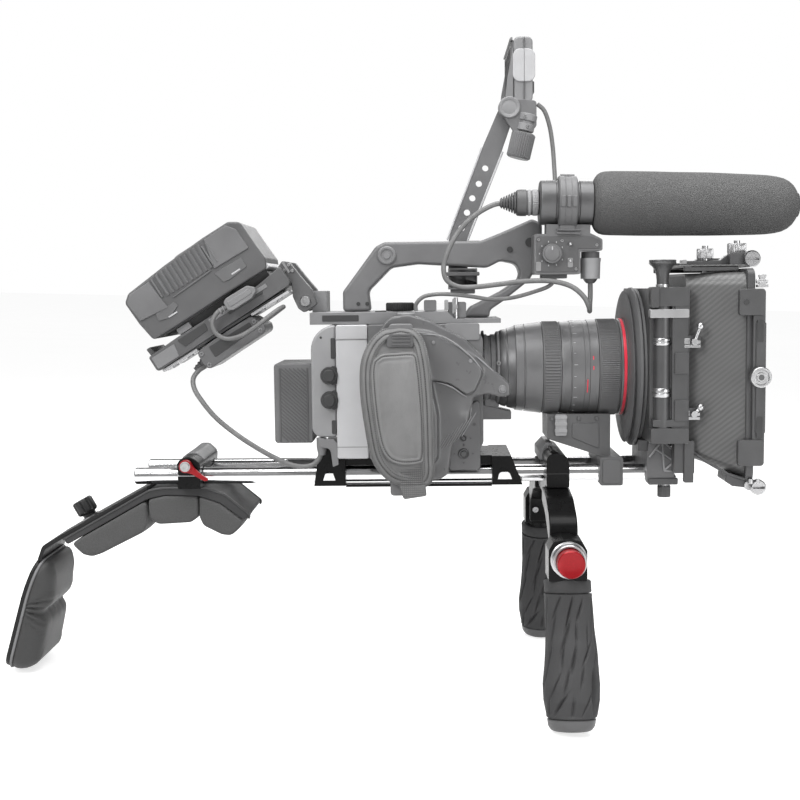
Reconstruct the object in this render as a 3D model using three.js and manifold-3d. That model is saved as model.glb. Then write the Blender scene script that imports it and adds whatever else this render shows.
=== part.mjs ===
// A shoulder-mounted cinema camera rig, in millimetres, +Z up, +X towards the lens.
//
// Everything is laid out in the rig's own axes: the two support rods run along X at height 0,
// 60 mm apart, and +Y is the operator's left. At rest the rig stands on its two handgrips and
// the foot of its back pad, so the finished group is turned by REST_TILT and lifted onto Z = 0,
// with the origin below the middle of its bounding box.

import * as THREE from 'three';
import { mergeVertices } from 'three/addons/utils/BufferGeometryUtils.js';
import Module from 'manifold-3d';

const wasm = await Module();
wasm.setup();

// ---------- driving dimensions ----------
const GAP = 0.3;               // between pieces that touch
const REST_TILT = 2.0;         // degrees, rods rising towards the lens when the rig stands
const ROD_RADIUS = 7.5;        // 15 mm support rods
const ROD_Y = 30;              // half of the 60 mm rod spacing
const ROD_REAR = -268;
const ROD_FRONT = 226;
const BODY_Y = 57;             // half width of the camera body
const BODY_BOTTOM = 17.2;
const BODY_TOP = 134.3;
const LENS_Z = 92.5;           // height of the optical axis above the rods
const MATTE_Z = 93;            // height of the matte box's centre
const HANDLE_X = 108.5;        // handle pivots, seen from the side
const HANDLE_Z = -54;
const GRIP_Y = 132.5;          // top of each handgrip, out from the centre plane
const GRIP_Z = -74;
const GRIP_CANT = 10;          // degrees, each handgrip leaning outwards
const GRIP_LENGTH = 121.5;
const SHOULDER_WIDTH = 80;
const BACK_WIDTH = 92;
const MIC_X = 118;             // middle of the microphone's clip
const MIC_Y = -40;
const MIC_Z = 238;
const MIC_DROOP = 1.3;         // degrees, nose down
const TILT_X = -112;           // hinge of the battery plate
const TILT_Z = 155;
const BATTERY_TILT = 31.5;     // degrees, battery plate above level
const CABLE_RADIUS = 2.2;

// ---------- materials ----------
const finish = (color, roughness, metalness = 0) =>
  new THREE.MeshStandardMaterial({ color, roughness, metalness });
const chrome = finish(0xe8e8ea, 0.15, 1);
const blackMetal = finish(0x17171a, 0.4, 0.5);
const blackPlastic = finish(0x1e1e20, 0.6);
const foam = finish(0x2b2b2d, 0.9);
const gripRubber = finish(0x4a4a4c, 0.7);
const redMetal = finish(0xc8102e, 0.3, 0.6);
const silverPanel = finish(0xb4b4b6, 0.5, 0.2);
const greyShell = finish(0x8c8c8e, 0.55);
const darkShell = finish(0x6a6a6c, 0.6);
const lensBlack = finish(0x5c5c5e, 0.5);
const carbon = finish(0x5a5a5c, 0.45);
const paleMetal = finish(0xc4c4c6, 0.3, 0.9);
const paleCase = finish(0xc9c9cb, 0.6);
const windscreenFoam = finish(0x4b4b4d, 0.95);

// ---------- solids ----------
const radians = (degrees) => degrees * Math.PI / 180;

function signedVolume(position, index) {
  const [a, b, c] = [new THREE.Vector3(), new THREE.Vector3(), new THREE.Vector3()];
  let total = 0;
  for (let i = 0; i < index.length; i += 3) {
    a.fromBufferAttribute(position, index[i]);
    b.fromBufferAttribute(position, index[i + 1]);
    c.fromBufferAttribute(position, index[i + 2]);
    total += a.dot(b.cross(c));
  }
  return total;
}

// Closes a three.js geometry into a solid: seams merged, empty faces dropped, faces outwards.
function solid(geometry) {
  geometry.deleteAttribute('normal');
  geometry.deleteAttribute('uv');
  const merged = mergeVertices(geometry, 1e-4);
  const faces = [];
  const index = merged.index.array;
  for (let i = 0; i < index.length; i += 3) {
    const [a, b, c] = [index[i], index[i + 1], index[i + 2]];
    if (a !== b && b !== c && c !== a) faces.push(a, b, c);
  }
  if (signedVolume(merged.attributes.position, faces) < 0) faces.reverse();
  return new wasm.Manifold(new wasm.Mesh({
    numProp: 3,
    vertProperties: Float32Array.from(merged.attributes.position.array),
    triVerts: Uint32Array.from(faces),
  }));
}

const join = (first, ...rest) => rest.reduce((sum, next) => sum.add(next), first);
const cut = (first, ...rest) => rest.reduce((left, next) => left.subtract(next), first);

// A closed outline through corners [a, b, radius]; a corner with a radius is rounded.
function outline(corners) {
  const shape = new THREE.Shape();
  const towards = (from, to, reach) => {
    const length = Math.hypot(to[0] - from[0], to[1] - from[1]);
    const t = Math.min(reach, length / 2) / length;
    return [from[0] + (to[0] - from[0]) * t, from[1] + (to[1] - from[1]) * t];
  };
  corners.forEach((corner, i) => {
    const before = corners[(i + corners.length - 1) % corners.length];
    const after = corners[(i + 1) % corners.length];
    const radius = corner[2] ?? 0;
    const start = radius ? towards(corner, before, radius) : corner;
    if (i === 0) shape.moveTo(start[0], start[1]);
    else shape.lineTo(start[0], start[1]);
    if (radius) {
      const end = towards(corner, after, radius);
      shape.quadraticCurveTo(corner[0], corner[1], end[0], end[1]);
    }
  });
  return shape;
}

const rectangle = (a0, a1, b0, b1, radius = 0) =>
  [[a0, b0, radius], [a1, b0, radius], [a1, b1, radius], [a0, b1, radius]];

// An outline pushed along one axis. Its own two axes are (X, Z) along y, (Y, Z) along x
// and (X, Y) along z.
function slab(axis, corners, low, high, curveSegments = 4) {
  const geometry = new THREE.ExtrudeGeometry(outline(corners), {
    depth: high - low, bevelEnabled: false, curveSegments,
  });
  if (axis === 'y') geometry.rotateX(Math.PI / 2).translate(0, high, 0);
  if (axis === 'x') geometry.rotateX(Math.PI / 2).rotateZ(Math.PI / 2).translate(low, 0, 0);
  if (axis === 'z') geometry.translate(0, 0, low);
  return solid(geometry);
}

// Puts something made around the Y axis around another axis, with its centre line at (u, v):
// (Y, Z) for x, (X, Z) for y and (X, Y) for z.
function alongAxis(geometry, axis, u, v) {
  if (axis === 'x') return geometry.rotateZ(-Math.PI / 2).translate(0, u, v);
  if (axis === 'z') return geometry.rotateX(Math.PI / 2).translate(u, v, 0);
  return geometry.translate(u, 0, v);
}

function bar(axis, radius, low, high, u, v, sides = 24) {
  const geometry = new THREE.CylinderGeometry(radius, radius, high - low, sides);
  return solid(alongAxis(geometry.translate(0, (low + high) / 2, 0), axis, u, v));
}

// A turned solid from [position along the axis, radius] pairs.
function turned(axis, profile, u, v, sides = 24) {
  const points = profile.map(([along, radius]) => new THREE.Vector2(radius, along));
  return solid(alongAxis(new THREE.LatheGeometry(points, sides), axis, u, v));
}

// A ring whose section is a closed loop of [position along the axis, radius] pairs.
const ring = (axis, section, u, v, sides = 32) => turned(axis, [...section, section[0]], u, v, sides);

const box = (x0, x1, y0, y1, z0, z1) => slab('y', rectangle(x0, x1, z0, z1), y0, y1);

// A round cable along a smooth route of [x, y, z] points.
function cable(route, radius, sides = 8) {
  const points = route.map((point) => new THREE.Vector3(...point));
  const curve = new THREE.CatmullRomCurve3(points, false, 'centripetal');
  const section = new THREE.Shape();
  for (let i = 0; i < sides; i += 1) {
    const angle = 2 * Math.PI * i / sides;
    const [x, y] = [radius * Math.cos(angle), radius * Math.sin(angle)];
    if (i === 0) section.moveTo(x, y);
    else section.lineTo(x, y);
  }
  const steps = Math.ceil(curve.getLength() / (5 * radius));
  return solid(new THREE.ExtrudeGeometry(section, { extrudePath: curve, steps, bevelEnabled: false }));
}

// ---------- the group and its pieces ----------
const rig = new THREE.Group();

function piece(name, shape, material, parent = rig) {
  const { vertProperties, triVerts } = shape.getMesh();
  const geometry = new THREE.BufferGeometry();
  geometry.setAttribute('position', new THREE.BufferAttribute(Float32Array.from(vertProperties), 3));
  geometry.setIndex(new THREE.BufferAttribute(Uint32Array.from(triVerts), 1));
  geometry.computeVertexNormals();
  const mesh = new THREE.Mesh(geometry, material);
  mesh.name = name;
  parent.add(mesh);
  return mesh;
}

function turnedGroup(x, y, z, degreesAboutY) {
  const group = new THREE.Group();
  group.position.set(x, y, z);
  group.rotation.y = radians(degreesAboutY);
  rig.add(group);
  return group;
}

const rodBores = (low, high) => [-ROD_Y, ROD_Y].map(
  (y) => bar('x', ROD_RADIUS + GAP, low - 1, high + 1, y, 0));

// ---------- rods and baseplate ----------
function addRods() {
  const end = 1;
  const profile = [
    [ROD_REAR, 0], [ROD_REAR, ROD_RADIUS - end], [ROD_REAR + end, ROD_RADIUS],
    [ROD_FRONT - end, ROD_RADIUS], [ROD_FRONT, ROD_RADIUS - end], [ROD_FRONT, 0],
  ];
  piece('rod_right', turned('x', profile, -ROD_Y, 0), chrome);
  piece('rod_left', turned('x', profile, ROD_Y, 0), chrome);
}

function addBaseplate() {
  const halfWidth = 42;
  const top = BODY_BOTTOM - GAP;
  const foot = -8.8;
  const rearClamp = slab('y', [
    [-106, foot], [-78, foot], [-78, top], [-85, top], [-85, 26], [-99, 26], [-102, 20],
  ], -halfWidth, halfWidth);
  const frontClamp = slab('y', [[52, foot], [79, foot], [69, top], [52, top]], -halfWidth, halfWidth);
  const bridge = slab('y', [[-100, 9], [72, 9], [69, top], [-96, top]], -36, 36);
  const keel = box(-79, 53, -21, 21, -10.5, -6);
  const pockets = [-1, 1].flatMap((side) => {
    const [inner, outer] = side < 0 ? [-halfWidth - 1, -halfWidth + 3] : [halfWidth - 3, halfWidth + 1];
    return [
      slab('y', [[-98, -4], [-87, -4], [-90, 5], [-95, 5]], inner, outer),
      slab('y', [[57, -4], [70, -4], [66, 5], [59, 5]], inner, outer),
    ];
  });
  const body = join(rearClamp, frontClamp, bridge, keel);
  piece('baseplate', cut(body, ...rodBores(-106, 79), ...pockets), blackMetal);
}

// ---------- shoulder mount ----------
const CLAMP_BOTTOM = -9.3;
// Top of the moulded shoulder plate from its rear end to its drooping front lip.
const PLATE_TOP = [[-332, -55], [-254, -11.5], [-242, -9.6, 6], [-203, -9.6, 10], [-186, -16, 10],
  [-163, -35, 4]];
const PLATE_UNDER = [[-170, -39.5], [-191, -24, 14], [-210, -17.5, 12], [-240, -16.5, 10], [-256, -20],
  [-330, -61]];

function addShoulderClamp() {
  const halfWidth = 50;
  const base = slab('y', rectangle(-226, -206, CLAMP_BOTTOM, 2.2), -halfWidth, halfWidth);
  const cap = slab('y', [
    [-226, 2.5], [-207, 2.5], [-206, 13, 3], [-213, 19, 6], [-221, 19, 4], [-227, 14, 3],
  ], -halfWidth, halfWidth);
  piece('shoulder_clamp_base', cut(base, ...rodBores(-226, -206)), blackMetal);
  piece('shoulder_clamp_cap', cut(cap, ...rodBores(-227, -206)), greyShell);

  const [pivotX, pivotZ] = [-218, 11.5];
  const boss = bar('y', 5.6, -57, -halfWidth - GAP, pivotX, pivotZ, 20);
  const tail = slab('y', [[-221.5, 6.5], [-201.5, -1, 1.5], [-198.5, 1.5, 1], [-214, 15.5]], -56, -51.5);
  piece('clamp_lever', join(boss, tail), redMetal);
}

function addShoulderPad() {
  const half = SHOULDER_WIDTH / 2;
  const plate = slab('y', [...PLATE_UNDER, ...PLATE_TOP], -half, half);
  piece('shoulder_plate', plate, blackPlastic);
  const cushions = {
    front: [[-209, -18.3], [-191, -24.5, 10], [-171.5, -39.5], [-172, -45, 3], [-181, -53, 4],
    [-189, -52.5, 4],
      [-206, -44, 5], [-209.5, -36, 3]],
    middle: [[-255, -20.3], [-240, -17, 8], [-210.5, -18, 6], [-211, -36, 4], [-217, -41, 4],
    [-247, -42.5, 6],
      [-254, -37, 4]],
    rear: [[-324, -58.5], [-257, -21.3], [-256.5, -43, 4], [-261, -50, 4], [-298, -68.5, 5],
    [-307, -71.5, 5],
      [-315, -69.5, 4], [-323, -62, 3]],
  };
  const plateSpace = slab('y', [...PLATE_UNDER, ...PLATE_TOP], -half - 3, half + 3).translate([0, 0, -GAP]);
  for (const [where, corners] of Object.entries(cushions)) {
    piece(`shoulder_cushion_${where}`, cut(slab('y', corners, -half - 2, half + 2), plateSpace), foam);
  }
}

// Height of the floor under the tilted rig, from the point where the handgrips stand on it.
const REST_POINT_X = 111;
const REST_POINT_Z = -196.2;
const groundZ = (x) => REST_POINT_Z + (REST_POINT_X - x) * Math.tan(radians(REST_TILT));

function addBackPad() {
  const half = SHOULDER_WIDTH / 2;
  // The arm is a bent strip: it lies on the shoulder plate, then turns down behind the back.
  const strip = slab('y', [
    [-256, -12.2], [-332, -54.6], [-353, -66.3], [-363, -90], [-386, -174], [-389.5, -174],
    [-366.5, -91], [-356, -64.2, 3], [-256, -8.4],
  ], -half, half);
  const rearPlate = slab('y', [[-353.6, -70], [-363, -90], [-386, -174], [-389.5, -174], [-366.5, -91],
    [-357, -69]],
    -BACK_WIDTH / 2, BACK_WIDTH / 2);
  const slot = slab('y', [[-334, -60], [-322, -30], [-286, -10], [-298, -40]], -4.5, 4.5);
  piece('back_arm', cut(join(strip, rearPlate), slot), blackMetal);
  const foot = [groundZ(-366), groundZ(-384)];
  const cushion = slab('y', [
    [-356, -79, 3], [-347, -86, 6], [-350, -112, 6], [-357, -121, 5], [-357, -137, 5],
    [-359, -155, 8],
    [-363.5, foot[0] + 3, 3], [-366, foot[0]], [-384, foot[1]], [-385.6, -174], [-362.6, -90],
  ], -BACK_WIDTH / 2 + 1, BACK_WIDTH / 2 - 1);
  piece('back_cushion', cushion, foam);

  // The knob stands square on the sloping arm, over the arm's slot.
  const slope = Math.atan2(43.5, 78) * 180 / Math.PI;
  const group = turnedGroup(-317, 0, -42.6, -slope);
  const knob = turned('z', [[GAP, 0], [GAP, 8.5], [2, 8.5], [2, 6.5], [5, 6.5], [6, 9.5], [17, 9.5],
    [19, 8], [19, 0]],
    0, 0, 20);
  piece('back_knob', knob, blackPlastic, group);
}

// ---------- handles ----------
function addHandleMount() {
  const body = slab('y', [
    [99, -10, 1], [119, -10, 1], [119, 10], [117, 17, 3], [112, 19.5, 4], [102, 19.5, 4],
    [99, 15, 2],
  ], -53, 53);
  const beam = box(99, 119, -39, 39, -20, -9.5);
  piece('handle_clamp', cut(join(body, beam), ...rodBores(99, 119)), blackMetal);
}

function addHandle(side, name) {
  const sideSlab = (axis, corners, near, far) =>
    side > 0 ? slab(axis, corners, near, far) : slab(axis, corners, -far, -near);
  const armCorners = [
    [39.3, -11], [52, -11], [82, -14, 6], [111, -26, 8], [116.7, -34, 4], [116.7, -68],
    [104, -68], [104, -46, 6], [72, -30, 8], [39.3, -24],
  ].map(([y, z, radius]) => [side * y, z, radius]);
  piece(`handle_arm_${name}`, slab('x', armCorners, 96, 119.5), blackMetal);

  // Push-button joint: a block with a chamfered crown and a short round housing on its outside.
  const crown = sideSlab('y', [
    [92, -78], [124, -78], [124, -46], [120, -40], [112, -38], [104, -38], [96, -40], [92, -46],
  ], 117, 149);
  const pivotBar = (radius, near, far) => (side > 0
    ? bar('y', radius, near, far, HANDLE_X, HANDLE_Z, 28)
    : bar('y', radius, -far, -near, HANDLE_X, HANDLE_Z, 28));
  const housing = pivotBar(13.8, 148, 160);
  const well = pivotBar(11.6, 155, 161);
  const gripSpace = box(-40, 40, -40, 40, -40, GAP)
    .rotate([side * GRIP_CANT, 0, 0]).translate([HANDLE_X, side * GRIP_Y, GRIP_Z]);
  piece(`handle_joint_${name}`, cut(join(crown, housing), well, gripSpace), blackMetal);
  piece(`release_button_${name}`, pivotBar(11.2, 158.3, 171), redMetal);

  // The handgrip hangs from the block, leaning outwards, a little deeper in front than behind.
  const profile = [
    [-GRIP_LENGTH, 0], [-GRIP_LENGTH, 16], [-GRIP_LENGTH + 3, 19.5], [-GRIP_LENGTH + 11, 20.5],
    [-GRIP_LENGTH + 12, 20], [-95, 21.3], [-70, 20.8], [-40, 19.6], [-12, 19], [-10, 17.5],
    [-9.5, 19], [0, 19], [0, 0],
  ];
  const points = profile.map(([along, radius]) => new THREE.Vector2(radius, along));
  const geometry = new THREE.LatheGeometry(points, 24).rotateX(Math.PI / 2);
  const position = geometry.attributes.position;
  const swell = 2.2;
  for (let i = 0; i < position.count; i += 1) {
    const depth = THREE.MathUtils.clamp(-position.getZ(i) / GRIP_LENGTH, 0, 1);
    position.setX(i, position.getX(i) + swell * Math.sin(depth * Math.PI * 0.8));
    position.setY(i, position.getY(i) * 0.92);
  }
  const group = new THREE.Group();
  group.position.set(HANDLE_X + 0.3, side * GRIP_Y, GRIP_Z);
  group.rotation.x = radians(side * GRIP_CANT);
  rig.add(group);
  piece(`grip_${name}`, solid(geometry), gripRubber, group);
}

// ---------- camera body ----------
function addCamera() {
  const rearCover = slab('y', [[-106, 36, 9], [-84.3, 36], [-84.3, BODY_TOP],
    [-106, BODY_TOP, 22]], -54, 54);
  piece('camera_rear_cover', rearCover, greyShell);
  piece('camera_chassis', box(-84, -56, -BODY_Y, BODY_Y, BODY_BOTTOM, BODY_TOP), silverPanel);
  const shell = slab('y', [
    [-55.7, BODY_BOTTOM], [34, BODY_BOTTOM, 6], [44, 30, 8], [44, 122, 10], [34, BODY_TOP, 6],
    [-55.7, BODY_TOP],
  ], -BODY_Y, BODY_Y);
  piece('camera_front_shell', shell, darkShell);
  piece('camera_battery', slab('y', rectangle(-141, -106.4, 29, 100, 3), -35, 35), darkShell);

  const plateBottom = BODY_TOP + GAP;
  const topPlate = slab('y', [
    [-107, plateBottom], [60, plateBottom], [60, 138.5], [20, 138.5], [13, 145], [-107, 145],
  ], -48, 48);
  const knuckle = join(box(-107, -94, -19.5, 19.5, 144, 164), bar('y', 7.5, -19.5, 19.5, TILT_X, TILT_Z, 20));
  piece('top_plate', join(topPlate, knuckle), darkShell);
  piece('thumbwheel', bar('z', 12.5, 145 + GAP, 153, -28.5, -22, 28), blackMetal);
}

function addHandGrip() {
  const grip = slab('y', [
    [-48, 22, 12], [-50, 112, 16], [-46, 131, 8], [-37, 142, 10], [-20, 144.5, 12],
    [-2, 139, 12], [29, 126, 16], [54, 106, 8], [65, 99, 4], [66.5, 74, 3], [59, 71.5, 3],
    [46, 75, 6], [40, 69, 4], [41, 7, 5], [16, 7, 3], [6, 1, 6], [-30, 1, 14],
  ], -98, -BODY_Y - GAP);
  piece('hand_grip', grip, darkShell);

  // The strap arches over the back of the hand; it is trimmed to a long oval.
  const arch = slab('x', [
    [-98.4, 134], [-111, 131, 10], [-123, 106, 18], [-127, 66, 22], [-123, 20, 18],
    [-111, -5, 10], [-98.4, -7.5], [-98.4, 1.5], [-107, 4, 6], [-115, 24, 14], [-118.5, 66, 18],
    [-115, 102, 14], [-107, 121, 8], [-98.4, 124],
  ], -60, 0);
  const oval = slab('y', [
    [-57, 111, 14], [-59, 60, 20], [-50, 30, 12], [-34, 5, 10], [-24, -8, 6], [-8, -8, 6],
    [-2, 4, 10], [-1, 80, 20], [-8, 125, 14], [-27, 135, 12], [-45, 128, 14],
  ], -130, -98);
  piece('hand_strap', arch.intersect(oval), darkShell);
}

// ---------- top handle, audio box and microphone ----------
function addTopHandle() {
  const handle = slab('y', [
    [-80, 145.3], [-80, 163, 5], [-50, 203, 6], [-42, 207, 8], [44, 207, 12], [62, 214, 10],
    [90, 226, 5], [99, 222, 5], [99, 190, 8], [87, 171, 6], [64, 153, 6], [52, 145, 4],
    [52, 138.8], [28, 138.8], [34, 148, 5], [62, 162, 6], [80, 174, 6], [76, 186, 7],
    [62, 189, 5], [50, 183, 8], [-12, 187, 10], [-36, 184, 6], [-57, 163, 6], [-55, 145.3],
  ], -14, 14);
  piece('top_handle', handle, darkShell);
}

// The microphone's clip stands on the audio box, in the microphone's slightly drooping axes.
function addMicrophone() {
  const audioBox = slab('y', [
    [89, 176, 2], [129, 176, 2], [129, 196], [148, 196, 2], [148, 206, 2], [138, 211],
    [89, 211, 2],
  ], -50, -14.3);
  const clipRing = ring('x', [[-8, 22.5], [8, 22.5], [8, 19.8], [-8, 19.8]], 0, 0, 32);
  const foot = cut(box(-18, 20, -10, 10, -30, -19), bar('x', 19.8, -30, 30, 0, 0, 32));
  const holder = join(clipRing, foot).rotate([0, MIC_DROOP, 0]).translate([MIC_X, MIC_Y, MIC_Z]);
  piece('audio_box', join(audioBox, holder), darkShell);
  piece('audio_dial', bar('y', 8.8, -56, -50 - GAP, 104, 194, 24), greyShell);

  const group = turnedGroup(MIC_X, MIC_Y, MIC_Z, MIC_DROOP);
  const microphone = turned('x', [[-24, 0], [-24, 19.4], [22, 19.4], [22, 10], [180, 10], [180, 0]], 0, 0);
  piece('microphone', microphone, blackMetal, group);
  const windscreen = turned('x', [
    [22.3, 10.3], [22.3, 22], [24, 26], [28, 27.6], [60, 27.8], [120, 27.2], [165, 25.8],
    [184, 23.5], [193, 18.5], [198.5, 10], [200, 0], [181, 0], [181, 10.3], [22.3, 10.3],
  ], 0, 0);
  piece('mic_windscreen', windscreen, windscreenFoam, group);
}

// ---------- monitor ----------
function addMonitor() {
  const base = join(box(15, 41, -11, 11, 164, 182.7), bar('y', 8, 10, 20, 28, 172, 20));
  const blade = slab('y', [
    [16, 166, 3], [34, 164, 3], [32, 208, 8], [65, 289, 4], [76, 320, 5], [68, 332, 4],
    [62, 326, 4], [47, 292, 6], [15, 208, 8],
  ], 17.3, 25);
  const holes = [[50, 274], [44, 260], [38, 247], [33, 234], [28, 220]].map(
    ([x, z]) => bar('y', 3, 16, 26, x, z, 12));
  piece('monitor_arm', cut(join(base, blade), ...holes), darkShell);

  const hinge = join(
    bar('y', 9.2, 8.5, 17, 71.5, 327, 24),
    slab('y', [[66, 322], [78, 306, 3], [95, 309, 3], [96, 336, 3], [78, 338, 3], [66, 332]], 8.5, 17));
  const screen = slab('y', rectangle(74, 95, 333, 398, 6), 9, 112);
  piece('monitor', join(hinge, screen), greyShell);
  const group = turnedGroup(85, 12.5, 305, 14);
  piece('monitor_knob', bar('z', 11, -24, 0, 0, 0, 24), blackMetal, group);
}

// ---------- lens ----------
function addLens() {
  const adapter = turned('x', [[44.4, 0], [44.4, 30.5], [57, 30.5], [60, 33.2], [60, 0]], 0, LENS_Z, 32);
  const foot = join(box(46, 59.7, -9, 9, 46, 66), box(59, 71, -9, 9, 46, 53.5));
  piece('lens_adapter', join(adapter, foot), greyShell);
  const barrel = turned('x', [
    [60.3, 0], [60.3, 33.2], [74, 37.5], [74, 38.8], [97.7, 41.5], [97.7, 36], [114.3, 36],
    [114.3, 41.2], [146.7, 43.2], [146.7, 38], [166.3, 38], [166.3, 43.6], [173, 43.6],
    [173, 38], [158, 32], [158, 0],
  ], 0, LENS_Z, 32);
  piece('lens_barrel', barrel, lensBlack);
  const rings = { zoom_ring: [98, 114, 41.8, 36.3], focus_ring: [147, 166, 43.6, 38.3] };
  for (const [name, [rear, front, outside, inside]] of Object.entries(rings)) {
    piece(name, ring('x', [[rear, outside], [front, outside], [front, inside],
      [rear, inside]], 0, LENS_Z), lensBlack);
  }
}

function addLensSupport() {
  const clamp = slab('y', rectangle(147, 167, -10, 15, 2), -44, 44);
  const cradle = slab('y', [[102, 30], [147, 15], [147, 10], [158, 10], [158, 52], [102, 52]], -27, 27);
  const seat = bar('x', 44, 90, 175, 0, LENS_Z, 32);
  piece('lens_support', cut(join(clamp, cradle), seat, ...rodBores(147, 167)), darkShell);
}

// ---------- matte box ----------
function addMatteBox() {
  const donut = ring('x', [
    [164, 46], [165, 56], [168, 64], [172, 69], [177, 71.5], [184, 71.5], [184, 46],
  ], 0, MATTE_Z);
  piece('matte_donut', donut, lensBlack);

  const frame = slab('x', rectangle(-78, 78, 32, 163, 6), 184.3, 215);
  const lightPath = slab('x', rectangle(-58, 58, MATTE_Z - 48, MATTE_Z + 48, 4), 180, 220);
  const sides = [-1, 1].flatMap((side) => {
    const [low, high] = side < 0 ? [-86, -77] : [77, 86];
    return [
      box(202, 215, low, high, 40, 158),
      box(205, 215, side < 0 ? -82 : 68, side < 0 ? -68 : 82, 6, 33),
      box(214, 222, side < 0 ? -82 : 78.8, side < 0 ? -78.8 : 82, 6, 33),
      bar('z', 6.7, 36, 163, 194.5, side * 80, 20),
    ];
  });
  const lugs = [57, 118].map((z) => box(213, 226, -86, -79.6, z - 5, z + 5));
  piece('matte_stage', cut(join(frame, ...sides, ...lugs), lightPath), blackMetal);
  const latch = turned('z', [
    [163.3, 0], [163.3, 5], [172, 5.2], [179, 7.5], [183.5, 11], [187, 11], [187, 0],
  ], 194.5, -80, 24);
  piece('latch_knob', latch, blackMetal);

  // Hood: a shell flaring from the stage to its front frame.
  const flare = (inset) => {
    const [rear, front] = [215.3, 262];
    const corners = rectangle(-95 + inset, 95 - inset, 3 + inset, 176 - inset, 12);
    const geometry = new THREE.ExtrudeGeometry(outline(corners), {
      depth: front - rear, bevelEnabled: false, curveSegments: 4,
    });
    geometry.rotateX(Math.PI / 2).rotateZ(Math.PI / 2).translate(rear, 0, 0);
    const position = geometry.attributes.position;
    for (let i = 0; i < position.count; i += 1) {
      const along = (position.getX(i) - rear) / (front - rear);
      position.setY(i, position.getY(i) * THREE.MathUtils.lerp(0.77, 1, along));
      const height = position.getZ(i);
      position.setZ(i, THREE.MathUtils.lerp(MATTE_Z + (height - 89.5) * 0.845, height, along));
      if (inset > 0) position.setX(i, position.getX(i) + (along > 0.5 ? 0.5 : -0.5));
    }
    return solid(geometry);
  };
  const rim = slab('x', rectangle(-98, 98, 0, 179, 8), 261.5, 268);
  const mouth = slab('x', rectangle(-92.5, 92.5, 5.5, 173.5, 9), 250, 280);
  const rails = [-1, 1].map((side) => slab('y', rectangle(256, 276, 15, 161, 2),
    side < 0 ? -102 : 96.5, side < 0 ? -96.5 : 102));
  piece('matte_hood', join(cut(flare(0), flare(2.5)), cut(rim, mouth), ...rails), carbon);

  const flagPlate = box(213, 272, -78, 78, 180, 182.6);
  const bars = [-60, 60].map((y) => box(213, 276, y - 6, y + 6, 179.5, 185.5));
  piece('top_flag', join(flagPlate, ...bars), carbon);

  const bracket = slab('y', [[188, -7], [212, -7], [212, 16], [206, 31.7], [190, 31.7],
    [188, 12]], -44, 44);
  piece('matte_bracket', cut(bracket, ...rodBores(188, 212)), blackMetal);
  piece('matte_knob', turned('z', [[-21, 0], [-21, 5.7], [-11, 5.7], [-11, 4], [-7.3, 4],
    [-7.3, 0]], 204, -38, 20),
    blackMetal);

  for (const [name, z, lean, stemTop] of [['upper', 118, 20, 13], ['lower', 57, 42, 7]]) {
    const group = new THREE.Group();
    group.position.set(220, -86.3, z);
    group.rotation.y = radians(lean);
    rig.add(group);
    const stem = bar('z', 1.6, 0, stemTop, 0, -3, 10);
    const boss = bar('y', 4.5, -6, 0, 0, 0, 16);
    const ball = solid(new THREE.SphereGeometry(3.2, 12, 8).translate(0, -3, stemTop + 1));
    piece(`tray_lever_${name}`, join(boss, stem, ball), paleMetal, group);
  }
}

// ---------- battery ----------
function addBattery() {
  const group = turnedGroup(TILT_X, 0, TILT_Z, -BATTERY_TILT);
  const plate = slab('y', [
    [-141, 15, 3], [-141, 31.5, 2], [-112, 33], [-110, 41], [-10, 41], [-8, 38.5], [0, 38.5],
    [0, 18.5, 3],
  ], -45, 45);
  const cheeks = [-1, 1].map((side) => slab('y', [
    [-8, -8, 6], [8, -8, 6], [8, 10], [6.5, 40.5, 3], [-6, 38], [-6, 20], [-9, 8],
  ], side < 0 ? -32 : 20, side < 0 ? -20 : 32));
  piece('battery_plate', join(plate, ...cheeks), blackMetal, group);
  const converter = slab('y', [
    [-105, -6, 3], [-104, 13, 3], [-86, 14.5], [-48, 14.5, 3], [-41, 4, 2], [-42, -4, 3],
  ], -42, 16);
  piece('dc_converter', converter, blackPlastic, group);
  const battery = slab('y', [
    [-133, 62, 4], [-130, 41.5, 4], [-12, 41.5, 3], [-10, 66], [-10, 86, 6], [-20, 91, 6],
    [-90, 92.5, 8], [-127, 88, 6], [-134.5, 84, 5],
  ], -50, 50);
  piece('v_battery', battery, darkShell, group);

  const plug = slab('y', rectangle(-59, -34, 25, 37, 3), -57, -45 - GAP);
  const lead = cable([
    [-57, -51, 31], [-68, -52, 32], [-77, -52, 27], [-79.5, -52, 18], [-75, -52, 9],
    [-65, -51.5, 4.5], [-50, -51, 3.5], [-34, -50, 5], [-23, -45, 6], [-18.5, -37, 6],
    [-22, -30, 6], [-31, -26.5, 5.5], [-39.5, -26, 5],
  ], 2);
  piece('battery_lead', join(plug, lead), blackPlastic, group);
}

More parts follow.
